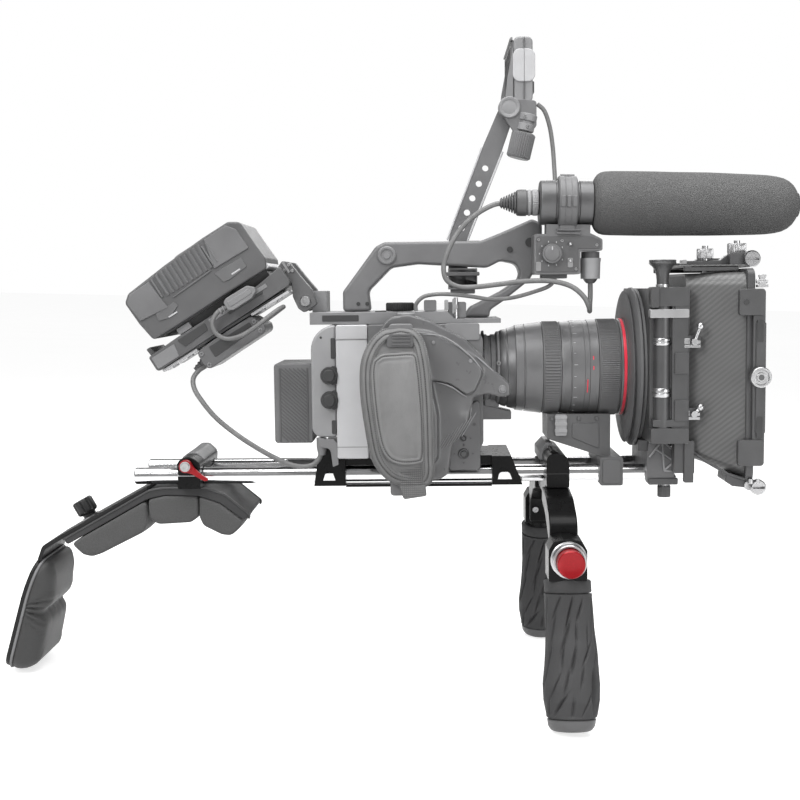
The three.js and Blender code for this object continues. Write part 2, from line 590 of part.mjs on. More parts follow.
// ---------- cables held by the rig ----------
function addCables() {
  const tail = turned('x', [[62, 0], [62, 5], [74, 8], [74, 11.5], [93.6, 11.5],
    [93.6, 0]], MIC_Y, MIC_Z + 0.5, 20);
  const boxPlug = turned('z', [[168, 0], [168, 4], [174, 8], [195.6, 8], [195.6, 0]], 139, -36, 20);
  const micLead = cable([
    [66, -40, 238.5], [56, -40, 237.5], [44, -40.5, 232], [32, -41, 223], [21, -42, 210],
    [14, -43, 196], [10.5, -43.5, 183], [13, -44, 172.5], [23, -45, 166.5], [38, -46, 166],
    [58, -47.5, 168], [82, -51, 170.5], [105, -55.5, 170], [121, -59, 165], [131, -60.5, 156],
    [135.5, -57, 147.5], [137, -49, 144], [138, -41, 148], [139, -36.5, 157], [139, -36, 171],
  ], CABLE_RADIUS);
  piece('mic_cable', join(tail, boxPlug, micLead), blackPlastic);

  const handleLead = cable([
    [-14, -43, 145.6], [-14, -43.5, 151], [-8, -44.5, 157.5], [4, -45, 160], [20, -43, 159.5],
    [36, -39, 157.5], [52, -34, 155], [70, -30, 156], [90, -28, 161], [105, -28, 167],
    [110, -28, 175],
  ], 1.8);
  piece('handle_lead', handleLead, blackPlastic);

  const powerPlug = turned('z', [[21, 0], [21, 3.2], [27, 4.6], [35.6, 4.6], [35.6, 0]], -98, -49.9, 16);
  const powerLead = cable([
    [-202.5, -30, 98.3], [-208, -34, 94.5], [-212, -39, 88], [-210.5, -44, 79.5],
    [-203, -47.5, 68], [-191, -50, 54], [-172, -51.5, 38.5], [-154, -52, 26.5],
    [-138, -52, 17.5], [-126, -52, 12.2], [-115, -51.5, 10], [-106, -51, 11.8],
    [-100.5, -50.3, 17], [-98.3, -49.9, 24],
  ], CABLE_RADIUS);
  piece('power_cable', join(powerPlug, powerLead), blackPlastic);

  const monitorLead = cable([
    [97.2, 13, 330], [103, 15, 325], [108, 16.5, 312], [111, 17, 294], [112.5, 15, 272],
    [113, 8, 250], [113, -3, 232], [113, -14, 221], [113, -19, 211.9],
  ], 2);
  piece('monitor_cable', monitorLead, blackPlastic);
}

addRods();
addBaseplate();
addShoulderClamp();
addShoulderPad();
addBackPad();
addHandleMount();
addHandle(-1, 'right');
addHandle(1, 'left');
addCamera();
addHandGrip();
addTopHandle();
addMicrophone();
addMonitor();
addLens();
addLensSupport();
addMatteBox();
addBattery();
addCables();

// ---------- standing on the floor ----------
rig.rotation.y = radians(-REST_TILT);
const model = new THREE.Group();
model.add(rig);
model.updateMatrixWorld(true);
const extent = new THREE.Box3().setFromObject(model, true);
rig.position.set(-(extent.min.x + extent.max.x) / 2, -(extent.min.y + extent.max.y) / 2, -extent.min.z);

export default model;
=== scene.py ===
"""Cinema camera rig: the looks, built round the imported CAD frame.

Sizes are in millimetres in the rig's own axes: the two rods run along X at height 0, the
optical axis is 92.5 above them, and +Y is the operator's left. RIG takes them to the row frame.
"""
import random
from math import atan2, cos, exp, pi, radians, sin, sqrt, tan

import bmesh
import bpy
from mathutils import Matrix, Vector
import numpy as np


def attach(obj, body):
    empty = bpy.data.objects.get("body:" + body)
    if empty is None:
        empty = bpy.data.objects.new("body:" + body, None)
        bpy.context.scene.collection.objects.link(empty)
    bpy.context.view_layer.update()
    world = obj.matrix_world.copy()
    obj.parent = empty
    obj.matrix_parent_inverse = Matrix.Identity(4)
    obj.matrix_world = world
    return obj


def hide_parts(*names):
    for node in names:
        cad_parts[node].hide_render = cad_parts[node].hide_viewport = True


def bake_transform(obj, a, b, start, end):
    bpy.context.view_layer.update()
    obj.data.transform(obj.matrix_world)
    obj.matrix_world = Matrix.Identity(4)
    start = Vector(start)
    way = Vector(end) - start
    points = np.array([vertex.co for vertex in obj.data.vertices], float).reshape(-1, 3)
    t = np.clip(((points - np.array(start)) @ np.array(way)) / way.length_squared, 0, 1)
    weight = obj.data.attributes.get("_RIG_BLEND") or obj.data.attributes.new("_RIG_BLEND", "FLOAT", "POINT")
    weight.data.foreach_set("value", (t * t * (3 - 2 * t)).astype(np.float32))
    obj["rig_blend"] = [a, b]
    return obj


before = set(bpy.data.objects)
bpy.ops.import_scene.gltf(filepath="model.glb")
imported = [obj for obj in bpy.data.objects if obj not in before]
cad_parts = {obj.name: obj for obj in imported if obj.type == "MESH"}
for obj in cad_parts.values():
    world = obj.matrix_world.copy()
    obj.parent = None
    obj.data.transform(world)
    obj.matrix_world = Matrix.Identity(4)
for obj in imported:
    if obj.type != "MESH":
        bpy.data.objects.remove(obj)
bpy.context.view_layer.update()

MM = 0.001
TAU = 2 * pi
WHITE = (1, 1, 1, 1)
REST_TILT = 2.0
RIG_SPOT = (0.0367916, 0.0, 0.192306)
TURN = Matrix.Rotation(radians(-REST_TILT), 4, 'Y')
RIG = Matrix.Translation(RIG_SPOT) @ TURN @ Matrix.Scale(MM, 4)

OPTICAL_AXIS = 92.5
ROD_SIDE = 30
HANDLE_JOINT = (108.5, -54)
STAGE_COLUMN = (194.5, -80)
HOOD_BACK, HOOD_FRONT = 215.3, 262
LEVER_AXIS = (-218, 11.5)
CAMERA_SPOT = (0.0, -1199.06, 165.97)
CAMERA_ANGLES = (-1.43, 4.87, -0.65)
FOCAL_LENGTH = 59.25


def at(x, y, z, degrees=0.0, axis='Y'):
    """A group's place in the rig: moved, then turned about one of its own axes."""
    return Matrix.Translation((x, y, z)) @ Matrix.Rotation(radians(degrees), 4, axis)


def row(point):
    """A rig point in the row frame, in metres."""
    return RIG @ Vector(point)


# ---------- camera and light ----------
def add_camera():
    yaw, tilt, roll = (radians(angle) for angle in CAMERA_ANGLES)
    forward = Vector((sin(yaw) * cos(tilt), cos(yaw) * cos(tilt), -sin(tilt)))
    right = Vector((cos(yaw), -sin(yaw), 0.0))
    up = right.cross(forward)
    right, up = (right * cos(roll) + up * sin(roll), up * cos(roll) - right * sin(roll))
    basis = Matrix((right, up, -forward)).transposed().to_4x4()
    camera = bpy.data.objects.new("camera", bpy.data.cameras.new("camera"))
    camera.data.lens = FOCAL_LENGTH
    camera.data.clip_start = 0.01
    camera.matrix_world = Matrix.Translation(row(CAMERA_SPOT)) @ TURN @ basis
    bpy.context.scene.collection.objects.link(camera)
    bpy.context.scene.camera = camera


def add_light(name, spot, target, size, power, glossy=True):
    data = bpy.data.lights.new(name, 'AREA')
    data.shape, data.size, data.energy = 'SQUARE', size, power
    light = bpy.data.objects.new(name, data)
    light.location = spot
    light.rotation_euler = (Vector(target) - Vector(spot)).to_track_quat('-Z', 'Y').to_euler()
    light.visible_glossy = glossy
    bpy.context.scene.collection.objects.link(light)


add_camera()


# ---------- solid shapes ----------
def rounded(corners, arc=6):
    """Points round a closed outline of [a, b, radius] corners; a corner with no radius stays sharp."""
    points = []
    for i, corner in enumerate(corners):
        here = Vector(corner[:2])
        before = Vector(corners[i - 1][:2]) - here
        after = Vector(corners[(i + 1) % len(corners)][:2]) - here
        radius = corner[2] if len(corner) > 2 else 0.0
        if radius <= 0.0 or before.angle(after) > radians(179.5):
            points.append(here)
            continue
        half = before.angle(after) / 2
        reach = min(radius / tan(half), 0.495 * before.length, 0.495 * after.length)
        radius = reach * tan(half)
        centre = here + (before.normalized() + after.normalized()).normalized() * radius / sin(half)
        first = here + before.normalized() * reach - centre
        last = here + after.normalized() * reach - centre
        start = atan2(first.y, first.x)
        sweep = (atan2(last.y, last.x) - start + pi) % TAU - pi
        for k in range(arc + 1):
            angle = start + sweep * k / arc
            points.append(centre + radius * Vector((cos(angle), sin(angle))))
    return points


def rectangle(a0, a1, b0, b1, radius=0.0):
    return [[a0, b0, radius], [a1, b0, radius], [a1, b1, radius], [a0, b1, radius]]


def spread(axis, a, b, t):
    """A point from its two outline coordinates and its place t along the axis."""
    return {'x': (t, a, b), 'y': (a, t, b), 'z': (a, b, t)}[axis]


def circles(axis, profile, u, v, sides, wobble=None):
    """A ring of points for each [along, radius] pair; wobble(i, along, radius) may change a radius."""
    rings = []
    for along, radius in profile:
        ring = []
        for i in range(sides):
            r = wobble(i, along, radius) if wobble else radius
            ring.append(spread(axis, u + r * cos(TAU * i / sides), v + r * sin(TAU * i / sides), along))
        rings.append(ring)
    return rings


def shrunk(points, centre, t):
    """The outline scaled by t about the centre."""
    return [centre + (p - centre) * t for p in points]


def centroid(points):
    return sum(points, Vector((0, 0))) / len(points)


def along_chain(points, value):
    """The second coordinate at value, from straight stretches between (first, second) points."""
    for (a0, b0), (a1, b1) in zip(points, points[1:]):
        if value <= a1:
            return b0 + (b1 - b0) * (value - a0) / (a1 - a0)
    return points[-1][1]


def smooth_line(route, per_step=8):
    """Points along a centripetal Catmull-Rom curve through the route."""
    pts = [Vector(p) for p in route]
    pts = [2 * pts[0] - pts[1]] + pts + [2 * pts[-1] - pts[-2]]
    line = []
    for i in range(1, len(pts) - 2):
        p0, p1, p2, p3 = pts[i - 1:i + 3]
        t0 = 0.0
        t1 = t0 + sqrt((p1 - p0).length)
        t2 = t1 + sqrt((p2 - p1).length)
        t3 = t2 + sqrt((p3 - p2).length)
        for k in range(per_step):
            t = t1 + (t2 - t1) * k / per_step
            a1 = p0 * ((t1 - t) / (t1 - t0)) + p1 * ((t - t0) / (t1 - t0))
            a2 = p1 * ((t2 - t) / (t2 - t1)) + p2 * ((t - t1) / (t2 - t1))
            a3 = p2 * ((t3 - t) / (t3 - t2)) + p3 * ((t - t2) / (t3 - t2))
            b1 = a1 * ((t2 - t) / (t2 - t0)) + a2 * ((t - t0) / (t2 - t0))
            b2 = a2 * ((t3 - t) / (t3 - t1)) + a3 * ((t - t1) / (t3 - t1))
            line.append(b1 * ((t2 - t) / (t2 - t1)) + b2 * ((t - t1) / (t2 - t1)))
    line.append(pts[-2])
    return line


class Form:
    """A collection of closed shells, each added by one call; calls chain."""

    def __init__(self):
        self.verts, self.faces = [], []

    def add(self, verts, faces, place=None):
        base = len(self.verts)
        self.verts += [place @ Vector(v) if place else Vector(v) for v in verts]
        self.faces += [[base + i for i in face] for face in faces]
        return self

    def loft(self, rings, wrap=False, place=None):
        """Skins a list of closed rings with the same number of points."""
        count = len(rings[0])
        verts = [v for ring in rings for v in ring]
        faces = []
        for k in range(len(rings) if wrap else len(rings) - 1):
            a, b = k * count, ((k + 1) % len(rings)) * count
            for i in range(count):
                j = (i + 1) % count
                faces.append([a + i, a + j, b + j, b + i])
        if not wrap:
            faces.append(list(range(count))[::-1])
            faces.append([(len(rings) - 1) * count + i for i in range(count)])
        return self.add(verts, faces, place)

    def slab(self, axis, corners, low, high, place=None, arc=6):
        outline = rounded(corners, arc)
        return self.loft([[spread(axis, p.x, p.y, t) for p in outline] for t in (low, high)], place=place)

    def box(self, x0, x1, y0, y1, z0, z1, place=None):
        return self.block('y', (x0, x1, z0, z1), y0, y1, place)

    def block(self, axis, sides, low, high, place=None):
        """A slab whose outline is the rectangle with these sides and corner radius."""
        return self.slab(axis, rectangle(*sides), low, high, place)

    def bar(self, axis, radius, low, high, u, v, sides=48):
        return self.loft(circles(axis, ((low, radius), (high, radius)), u, v, sides))

    def turned(self, axis, profile, u=0.0, v=0.0, sides=96, place=None, wobble=None):
        """Revolves [along, radius] pairs: a hollow ring, or a solid where an end's radius is 0."""
        hollow = profile[0][1] > 0 and profile[-1][1] > 0
        profile = [p for p in profile if p[1] > 0]
        return self.loft(circles(axis, profile, u, v, sides, wobble), hollow, place)

    def knurled(self, axis, radius, low, high, u, v, teeth=36, depth=0.5):
        """A round knob with fine teeth along its side and smooth chamfered ends."""
        shape = lambda i, along, r: r - depth * (0.0, 0.75, 1.0, 0.75)[i % 4] if low < along < high else r
        edge = 1.4 * depth
        profile = [[low, radius - edge], [low + edge, radius], [high - edge, radius], [high, radius - edge]]
        return self.loft(circles(axis, profile, u, v, teeth * 4, shape))

    def tube(self, line, radius, sides=16, place=None, closed=False):
        """A round tube along a list of points; radius may be a number or one per point."""
        pts = [Vector(p) for p in line]
        count = len(pts)
        up = None
        rings = []
        for i, p in enumerate(pts):
            ahead = pts[(i + 1) % count] if closed or i < count - 1 else p
            behind = pts[i - 1] if closed or i > 0 else p
            along = (ahead - behind).normalized()
            if up is None:
                up = along.orthogonal().normalized()
            up = (up - along * up.dot(along)).normalized()
            side = along.cross(up)
            r = radius[i] if isinstance(radius, (list, tuple)) else radius
            rings.append([p + r * (up * cos(TAU * k / sides) + side * sin(TAU * k / sides)) for k in
                range(sides)])
        return self.loft(rings, wrap=closed, place=place)

    def ball(self, x, y, z, radius):
        arc = [[z - radius * cos(pi * k / 16), radius * sin(pi * k / 16)] for k in range(1, 16)]
        return self.turned('z', [[z - radius, 0]] + arc + [[z + radius, 0]], x, y, 28)

    def socket_screw(self, axis, radius, low, high, u, v, out=1, place=None, slot=False):
        """A round screw head with a hexagonal recess, or a slot, in the face towards out."""
        face, back = (high, low) if out > 0 else (low, high)
        deep = face - out * 0.7 * abs(high - low)
        sides = 48
        def ring(r, t, hexed=False):
            points = []
            for i in range(sides):
                angle = TAU * i / sides
                scale = 1.0
                if hexed:
                    scale = cos(pi / 6) / cos((angle % (pi / 3)) - pi / 6)
                a, b = r * scale * cos(angle), r * scale * sin(angle)
                if slot and hexed:
                    b = max(-0.16 * radius, min(0.16 * radius, b * 3))
                    a = a * 1.6
                points.append(spread(axis, u + a, v + b, t))
            return points
        edge = out * min(0.25 * radius, 0.4 * abs(high - low))
        return self.loft([ring(radius, back), ring(radius, face - edge), ring(radius * 0.86, face),
            ring(radius * 0.5, face, True), ring(radius * 0.5, deep, True)], place=place)


def piece(name, form, material, body, place=None, edge=0.4, replaces=(), angle=32, segments=2):
    """Makes the object, rounds its edges, gives it its material and lets it ride on its body."""
    mesh = bpy.data.meshes.new(name)
    matrix = RIG @ place if place else RIG
    bm = bmesh.new()
    verts = [bm.verts.new(matrix @ v) for v in form.verts]
    for face in form.faces:
        bm.faces.new([verts[i] for i in face])
    bmesh.ops.remove_doubles(bm, verts=bm.verts, dist=1e-7)
    bmesh.ops.recalc_face_normals(bm, faces=bm.faces)
    bm.to_mesh(mesh)
    bm.free()
    return finish_piece(name, mesh, material, body, edge, replaces, angle, segments)


def finish_piece(name, mesh, material, body, edge, replaces, angle, segments=2):
    mesh.polygons.foreach_set('use_smooth', [True] * len(mesh.polygons))
    mesh.set_sharp_from_angle(angle=radians(angle))
    mesh.materials.append(material)
    obj = bpy.data.objects.new(name, mesh)
    bpy.context.scene.collection.objects.link(obj)
    if edge > 0:
        bevel = obj.modifiers.new('edges', 'BEVEL')
        bevel.width, bevel.segments = edge * MM, segments
        bevel.limit_method, bevel.angle_limit = 'ANGLE', radians(angle)
        bevel.harden_normals = True
    if body:
        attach(obj, body)
    if replaces:
        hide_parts(*([replaces] if isinstance(replaces, str) else replaces))
    return obj


def sculpted(name, form, material, body, voxel=1.2, rounds=10, shape=None, replaces=()):
    """A moulded or stuffed piece: overlapping shells merged and worn round, then shaped point by point."""
    rough = bpy.data.meshes.new(name + "_rough")
    rough.from_pydata([tuple(v) for v in form.verts], [], form.faces)
    source = bpy.data.objects.new(name + "_rough", rough)
    bpy.context.scene.collection.objects.link(source)
    remesh = source.modifiers.new("merge", 'REMESH')
    remesh.mode, remesh.voxel_size = 'VOXEL', voxel
    smooth = source.modifiers.new("round", 'SMOOTH')
    smooth.factor, smooth.iterations = 0.5, rounds
    bpy.context.view_layer.update()
    mesh = bpy.data.meshes.new_from_object(source.evaluated_get(bpy.context.evaluated_depsgraph_get()))
    mesh.name = name
    bpy.data.objects.remove(source)
    bpy.data.meshes.remove(rough)
    mesh.materials.clear()
    if shape:
        for vertex in mesh.vertices:
            vertex.co = shape(vertex.co)
    mesh.transform(RIG)
    return finish_piece(name, mesh, material, body, 0, replaces, 80)


def refined(node, material, body, edge):
    """The CAD node's own shape with its flat faces rejoined and its edges rounded."""
    mesh = bpy.data.meshes.new(node + "_body")
    bm = bmesh.new()
    bm.from_mesh(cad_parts[node].data)
    bmesh.ops.remove_doubles(bm, verts=bm.verts, dist=2e-6)
    bmesh.ops.dissolve_limit(bm, angle_limit=radians(0.6), verts=bm.verts, edges=bm.edges)
    bmesh.ops.recalc_face_normals(bm, faces=bm.faces)
    bm.to_mesh(mesh)
    bm.free()
    for attribute in [a for a in mesh.attributes if a.name == 'custom_normal']:
        mesh.attributes.remove(attribute)
    return finish_piece(node + "_body", mesh, material, body, edge, node, 25)


# ---------- materials ----------
class Nodes:
    """A small wrapper that makes a node tree with one call for each node."""

    def __init__(self, name):
        self.material = bpy.data.materials.new(name)
        self.material.use_nodes = True
        self.tree = self.material.node_tree
        self.bsdf = self.tree.nodes["Principled BSDF"]
        self.where = self.node('ShaderNodeTexCoord').outputs['Object']

    def node(self, kind, settings=None, **inputs):
        node = self.tree.nodes.new(kind)
        for key, value in (settings or {}).items():
            setattr(node, key, value)
        for key, value in inputs.items():
            socket = node.inputs[int(key[1:])] if key[0] == 'i' and key[1:].isdigit() else node.inputs[key]
            if isinstance(value, bpy.types.NodeSocket):
                self.tree.links.new(value, socket)
            else:
                socket.default_value = value
        return node

    def mapped(self, scale=(1, 1, 1), turn=(0, 0, 0)):
        return self.node('ShaderNodeMapping', Vector=self.where, Scale=scale,
            Rotation=[radians(t) for t in turn]).outputs[0]

    def noise(self, size, detail=3.0, rough=0.5, where=None):
        """Noise whose blotches are about size millimetres across."""
        return self.node('ShaderNodeTexNoise', Vector=where or self.where, Scale=1 / (size * MM),
            Detail=detail, Roughness=rough).outputs['Fac']

    def cells(self, size, feature='F1'):
        return self.node('ShaderNodeTexVoronoi', {'feature': feature}, Vector=self.where,
            Scale=1 / (size * MM)).outputs['Distance']

    def wave(self, direction, scale, where, distort):
        return self.node('ShaderNodeTexWave', {'bands_direction': direction}, Vector=where, Scale=scale,
            Distortion=distort).outputs['Fac']

    def span(self, value, low, high, start=0.0, end=1.0):
        return self.node('ShaderNodeMapRange', i0=value, i1=low, i2=high, i3=start, i4=end).outputs[0]

    def blend(self, factor, first, second):
        mix = self.node('ShaderNodeMix', {'data_type': 'RGBA'})
        for index, value in ((0, factor), (6, first), (7, second)):
            if isinstance(value, bpy.types.NodeSocket):
                self.tree.links.new(value, mix.inputs[index])
            else:
                mix.inputs[index].default_value = value
        return mix.outputs[2]

    def math(self, how, first, second):
        return self.node('ShaderNodeMath', {'operation': how}, i0=first, i1=second).outputs[0]

    def bump(self, height, distance, strength=1.0, under=None):
        node = self.node('ShaderNodeBump', Height=height, Strength=strength, Distance=distance * MM)
        if under:
            self.tree.links.new(under, node.inputs['Normal'])
        return node.outputs[0]

    def out(self, **inputs):
        names = {'colour': 'Base Color', 'rough': 'Roughness', 'metal': 'Metallic', 'normal': 'Normal',
                 'coat': 'Coat Weight', 'coat_rough': 'Coat Roughness', 'sheen': 'Sheen Weight',
                 'spec': 'Specular IOR Level', 'through': 'Transmission Weight', 'ior': 'IOR'}
        for key, value in inputs.items():
            socket = self.bsdf.inputs[names[key]]
            if isinstance(value, bpy.types.NodeSocket):
                self.tree.links.new(value, socket)
            else:
                socket.default_value = value
        return self.material


def grey(value, tint=0.0):
    return (value, value, value * (1 + tint), 1.0)


def moulded(name, value, rough=0.5, grain=0.35, depth=0.05, vary=0.08, metal=0.0, colour=None, wear=0.0,
            spec=0.5):
    """A moulded or coated surface: fine grain, slow shifts in tone and gloss, and small scuffs."""
    n = Nodes(name)
    base = colour or grey(value, 0.02)
    low = tuple(c * (1 - vary) for c in base[:3]) + (1.0,)
    high = tuple(min(1.0, c * (1 + vary)) for c in base[:3]) + (1.0,)
    mottle = n.noise(28, 4.0, 0.55)
    colour_out = n.blend(n.span(mottle, 0.3, 0.7), low, high)
    if wear > 0:
        scuff = n.span(n.noise(9, 8.0, 0.75), 0.62, 0.72)
        worn = tuple(min(1.0, c * (1 + 2.2 * wear) + 0.04 * wear) for c in base[:3]) + (1.0,)
        colour_out = n.blend(n.math('MULTIPLY', scuff, wear), colour_out, worn)
    fine = n.noise(grain, 3.0, 0.6)
    return n.out(colour=colour_out, rough=n.span(n.noise(7, 5.0, 0.6), 0.25, 0.75, rough - 0.07,
        rough + 0.07), metal=metal, spec=spec, normal=n.bump(fine, depth))


def brushed(name, value, rough=0.25):
    """Metal with fine straight lines left by turning or brushing."""
    n = Nodes(name)
    lines = n.noise(1.2, 5.0, 0.7, n.mapped((1, 1, 40)))
    slow = n.noise(30, 3.0)
    tone = n.blend(n.span(lines, 0.3, 0.7), grey(value * 0.85, 0.01), grey(min(1.0, value * 1.08), 0.01))
    return n.out(colour=tone, metal=1.0, rough=n.span(slow, 0.3, 0.7, rough * 0.75, rough * 1.3),
        normal=n.bump(lines, 0.01))


def cloth(name, value, size=0.9, depth=0.25, rough=0.9, sheen=0.15):
    """A knitted or foam-backed cover: small cells, a soft sheen and slow patches of wear, with the raised
    cell rims painted lighter than the hollows (painted highlight).
    """
    n = Nodes(name)
    weave = n.cells(size, 'SMOOTH_F1')
    fuzz = n.noise(size * 0.35, 4.0, 0.7)
    height = n.math('ADD', weave, n.math('MULTIPLY', fuzz, 0.6))
    tone = n.blend(n.span(n.noise(14, 5.0, 0.65), 0.3, 0.72), grey(value * 0.82), grey(value * 1.18))
    # Painted highlight: lighter where the cell height is high, on the raised rims.
    tone = n.blend(n.span(height, 0.2, 0.9), tone, grey(value * 1.5))
    return n.out(colour=tone, rough=n.span(fuzz, 0.2, 0.8, rough - 0.1, min(1.0, rough + 0.1)),
        sheen=sheen, normal=n.bump(height, depth))


def carbon_weave():
    """Twill carbon under satin resin: diagonal bands crossed by fine tows."""
    n = Nodes("carbon_weave")
    turned = n.mapped(turn=(0, -47, 0))
    bands = n.node('ShaderNodeTexWave', {'bands_direction': 'X'}, Vector=turned, Scale=88.0, Distortion=1.2,
        Detail=2.0, i4=0.8).outputs['Fac']
    tows = n.node('ShaderNodeTexWave', {'bands_direction': 'Z'}, Vector=turned, Scale=230.0, Distortion=0.4,
        Detail=1.0).outputs['Fac']
    weave = n.math('MULTIPLY', n.span(bands, 0.1, 0.9), n.span(tows, 0.0, 1.0, 0.75, 1.0))
    tone = n.blend(weave, grey(0.064), grey(0.1))
    tone = n.blend(n.span(n.noise(45, 3.0), 0.3, 0.7, 0.0, 0.5), tone, grey(0.078))
    return n.out(colour=tone, rough=n.span(weave, 0.0, 1.0, 0.52, 0.4), coat=0.25, coat_rough=0.3,
        normal=n.bump(weave, 0.05))


def rod_chrome():
    n = Nodes("rod_chrome_polished")
    streaks = n.noise(3.0, 4.0, 0.6, n.mapped((0.03, 1, 1)))
    tone = n.blend(n.span(streaks, 0.3, 0.7), grey(0.56, 0.01), grey(0.7, 0.01))
    return n.out(colour=tone, metal=1.0, rough=n.span(n.noise(25, 5.0), 0.3, 0.7, 0.10, 0.2),
        normal=n.bump(streaks, 0.004))


def strap_cloth(name, value, size):
    """Woven nylon: crossed threads with a slight shine on each crown, painted into the colour as lighter
    crowns and darker gaps between threads (painted highlight and painted shade).
    """
    n = Nodes(name)
    height = n.math('MULTIPLY', *(n.wave(direction, 314 / size, n.where, 0.4) for direction in 'XZ'))
    # Painted highlight and shade: lighter on the thread crowns, darker in the gaps between them.
    tone = n.blend(n.span(height, 0.0, 0.8), grey(value * 0.6), grey(value * 1.3))
    tone = n.blend(n.span(n.noise(12, 4.0), 0.35, 0.7, 0.0, 0.4), tone, grey(value * 1.15))
    return n.out(colour=tone, rough=n.span(n.noise(5, 3.0), 0.3, 0.7, 0.7, 0.9),
        sheen=0.2, normal=n.bump(height, 0.15))


def padded_leather(name, low, high):
    """The hand strap's soft synthetic leather: pebbled grain and creases."""
    n = Nodes(name)
    pebbles = n.cells(1.1, 'DISTANCE_TO_EDGE')
    creases = n.noise(16, 5.0, 0.6, n.mapped((1, 1, 0.6)))
    # Painted shade: the same crease noise as the bump, so the colour is darker in the low creases.
    tone = n.blend(n.span(creases, 0.3, 0.7), grey(low), grey(high))
    fine = n.bump(n.span(pebbles, 0.0, 0.25), 0.06)
    return n.out(colour=tone, rough=n.span(n.noise(4, 4.0), 0.3, 0.7, 0.5, 0.66),
        normal=n.bump(creases, 0.5, 0.6, fine))


def open_foam():
    n = Nodes("windscreen_foam")
    pores = n.cells(0.9, 'F1')
    fuzz = n.noise(0.5, 5.0, 0.75)
    height = n.math('ADD', n.math('MULTIPLY', pores, 1.2), fuzz)
    # Painted shade: the colour follows the pore height, darker down in the pores and lighter on the raised
    # foam.
    tone = n.blend(n.span(height, 0.45, 1.2), grey(0.045), grey(0.118))
    tone = n.blend(n.span(n.noise(18, 4.0), 0.35, 0.75, 0.0, 0.5), tone, grey(0.09))
    return n.out(colour=tone, rough=n.span(fuzz, 0.2, 0.8, 0.88, 1.0), normal=n.bump(height, 0.5))


def glass(name, value, tint):
    n = Nodes(name)
    sheen = n.blend(n.span(n.noise(30, 2.0), 0.3, 0.7), (value * 0.7, value * 0.8, value, 1.0),
        (value * tint, value, value * 1.4, 1.0))
    return n.out(colour=sheen, rough=n.span(n.noise(12, 3.0), 0.3, 0.7, 0.03, 0.09), spec=0.9, coat=1.0)


def red_anodised():
    n = Nodes("red_anodised_bright")
    rings = n.noise(1.2, 5.0, 0.7, n.mapped((1, 0.02, 1)))
    tone = n.blend(n.span(rings, 0.25, 0.75), (0.2, 0.0012, 0.004, 1), (0.34, 0.003, 0.008, 1))
    return n.out(colour=tone, metal=0.35, rough=n.span(n.noise(10, 4.0), 0.3, 0.7, 0.28, 0.38),
        coat=0.15, spec=0.3, normal=n.bump(rings, 0.01))


def jacket(name, value):
    """A cable's rubber jacket."""
    n = Nodes(name)
    tone = n.blend(n.span(n.noise(10, 4.0), 0.3, 0.7), grey(value * 0.85), grey(value * 1.15))
    return n.out(colour=tone, rough=n.span(n.noise(4, 4.0), 0.3, 0.7, 0.42, 0.56),
        normal=n.bump(n.noise(0.5), 0.02))


CHROME = rod_chrome()
BLACK = moulded("black_anodised_satin", 0.005, 0.3, 0.25, 0.012, 0.15, wear=0.1, spec=0.12)
BLACK_STEEL = moulded("black_powder_coat", 0.012, 0.42, 0.4, 0.03, 0.15, wear=0.2, spec=0.22)
BLACK_PLASTIC = moulded("black_plastic_satin", 0.014, 0.4, 0.4, 0.04, 0.15, spec=0.35)
PLATE = moulded("shoulder_shell", 0.045, 0.6, 0.5, 0.06, 0.15, spec=0.22)
TRIM = moulded("piping_rubber", 0.035, 0.4, 0.5, 0.02, 0.2)
KIT_FOAM = cloth("kit_foam_cover", 0.052, 0.8, 0.2, 0.88, 0.12)
BACK_FOAM = cloth("back_foam_cover", 0.02, 0.7, 0.12, 0.58, 0.12)
RUBBER = moulded("grip_rubber_matte", 0.054, 0.7, 0.35, 0.09, 0.12, spec=0.3)
CAP_RUBBER = moulded("grip_cap", 0.10, 0.5, 0.4, 0.05, 0.1)
RED = red_anodised()
SILVER = moulded("silver_panel_satin", 0.50, 0.42, 0.3, 0.05, 0.05, 0.15)
GREY = moulded("grey_case_grain", 0.29, 0.5, 0.45, 0.12, 0.08)
MID = moulded("mid_case_grain", 0.19, 0.5, 0.45, 0.1, 0.08)
GRIP_CASE = moulded("grip_case_smooth", 0.105, 0.32, 0.5, 0.05, 0.1, wear=0.03)
DARK = moulded("dark_case_grain", 0.135, 0.5, 0.5, 0.1, 0.1)
MIDGREY = moulded("monitor_grey", 0.23, 0.48, 0.4, 0.06, 0.08)
BLACK_GREY = moulded("converter_dark", 0.11, 0.48, 0.4, 0.06, 0.1)
DEEP = moulded("deep_case_grain", 0.085, 0.5, 0.5, 0.08, 0.1)
# Near-black; on the grip core it is painted shade for the grip's slot.
RECESS = moulded("dark_recess", 0.03, 0.6, 0.5, 0.05, 0.2)
LEATHER = padded_leather("strap_leather", 0.115, 0.15)
PANEL_LEATHER = padded_leather("strap_panel_leather", 0.15, 0.185)
WEBBING = strap_cloth("strap_webbing", 0.13, 1.6)
DARK_THREAD = strap_cloth("stitch_thread", 0.05, 0.5)
LENS = moulded("lens_satin", 0.13, 0.38, 0.3, 0.02, 0.08, 0.2)
LENS_RUBBER = moulded("lens_ribbed_rubber", 0.108, 0.62, 0.3, 0.04, 0.1)
RED_LINE = moulded("red_line_paint", 0.5, 0.35, 0.3, 0.01, 0.05, colour=(0.80, 0.035, 0.07, 1))
CARBON = carbon_weave()
STAGE = moulded("stage_anodised", 0.064, 0.4, 0.3, 0.02, 0.12, 0.3)
BRIGHT = brushed("bright_steel", 0.42, 0.3)
PALE = moulded("pale_case", 0.46, 0.45, 0.3, 0.05, 0.06, 0.1)
MIC_METAL = moulded("mic_satin_metal", 0.1, 0.38, 0.25, 0.01, 0.1, 0.4)
FOAM = open_foam()
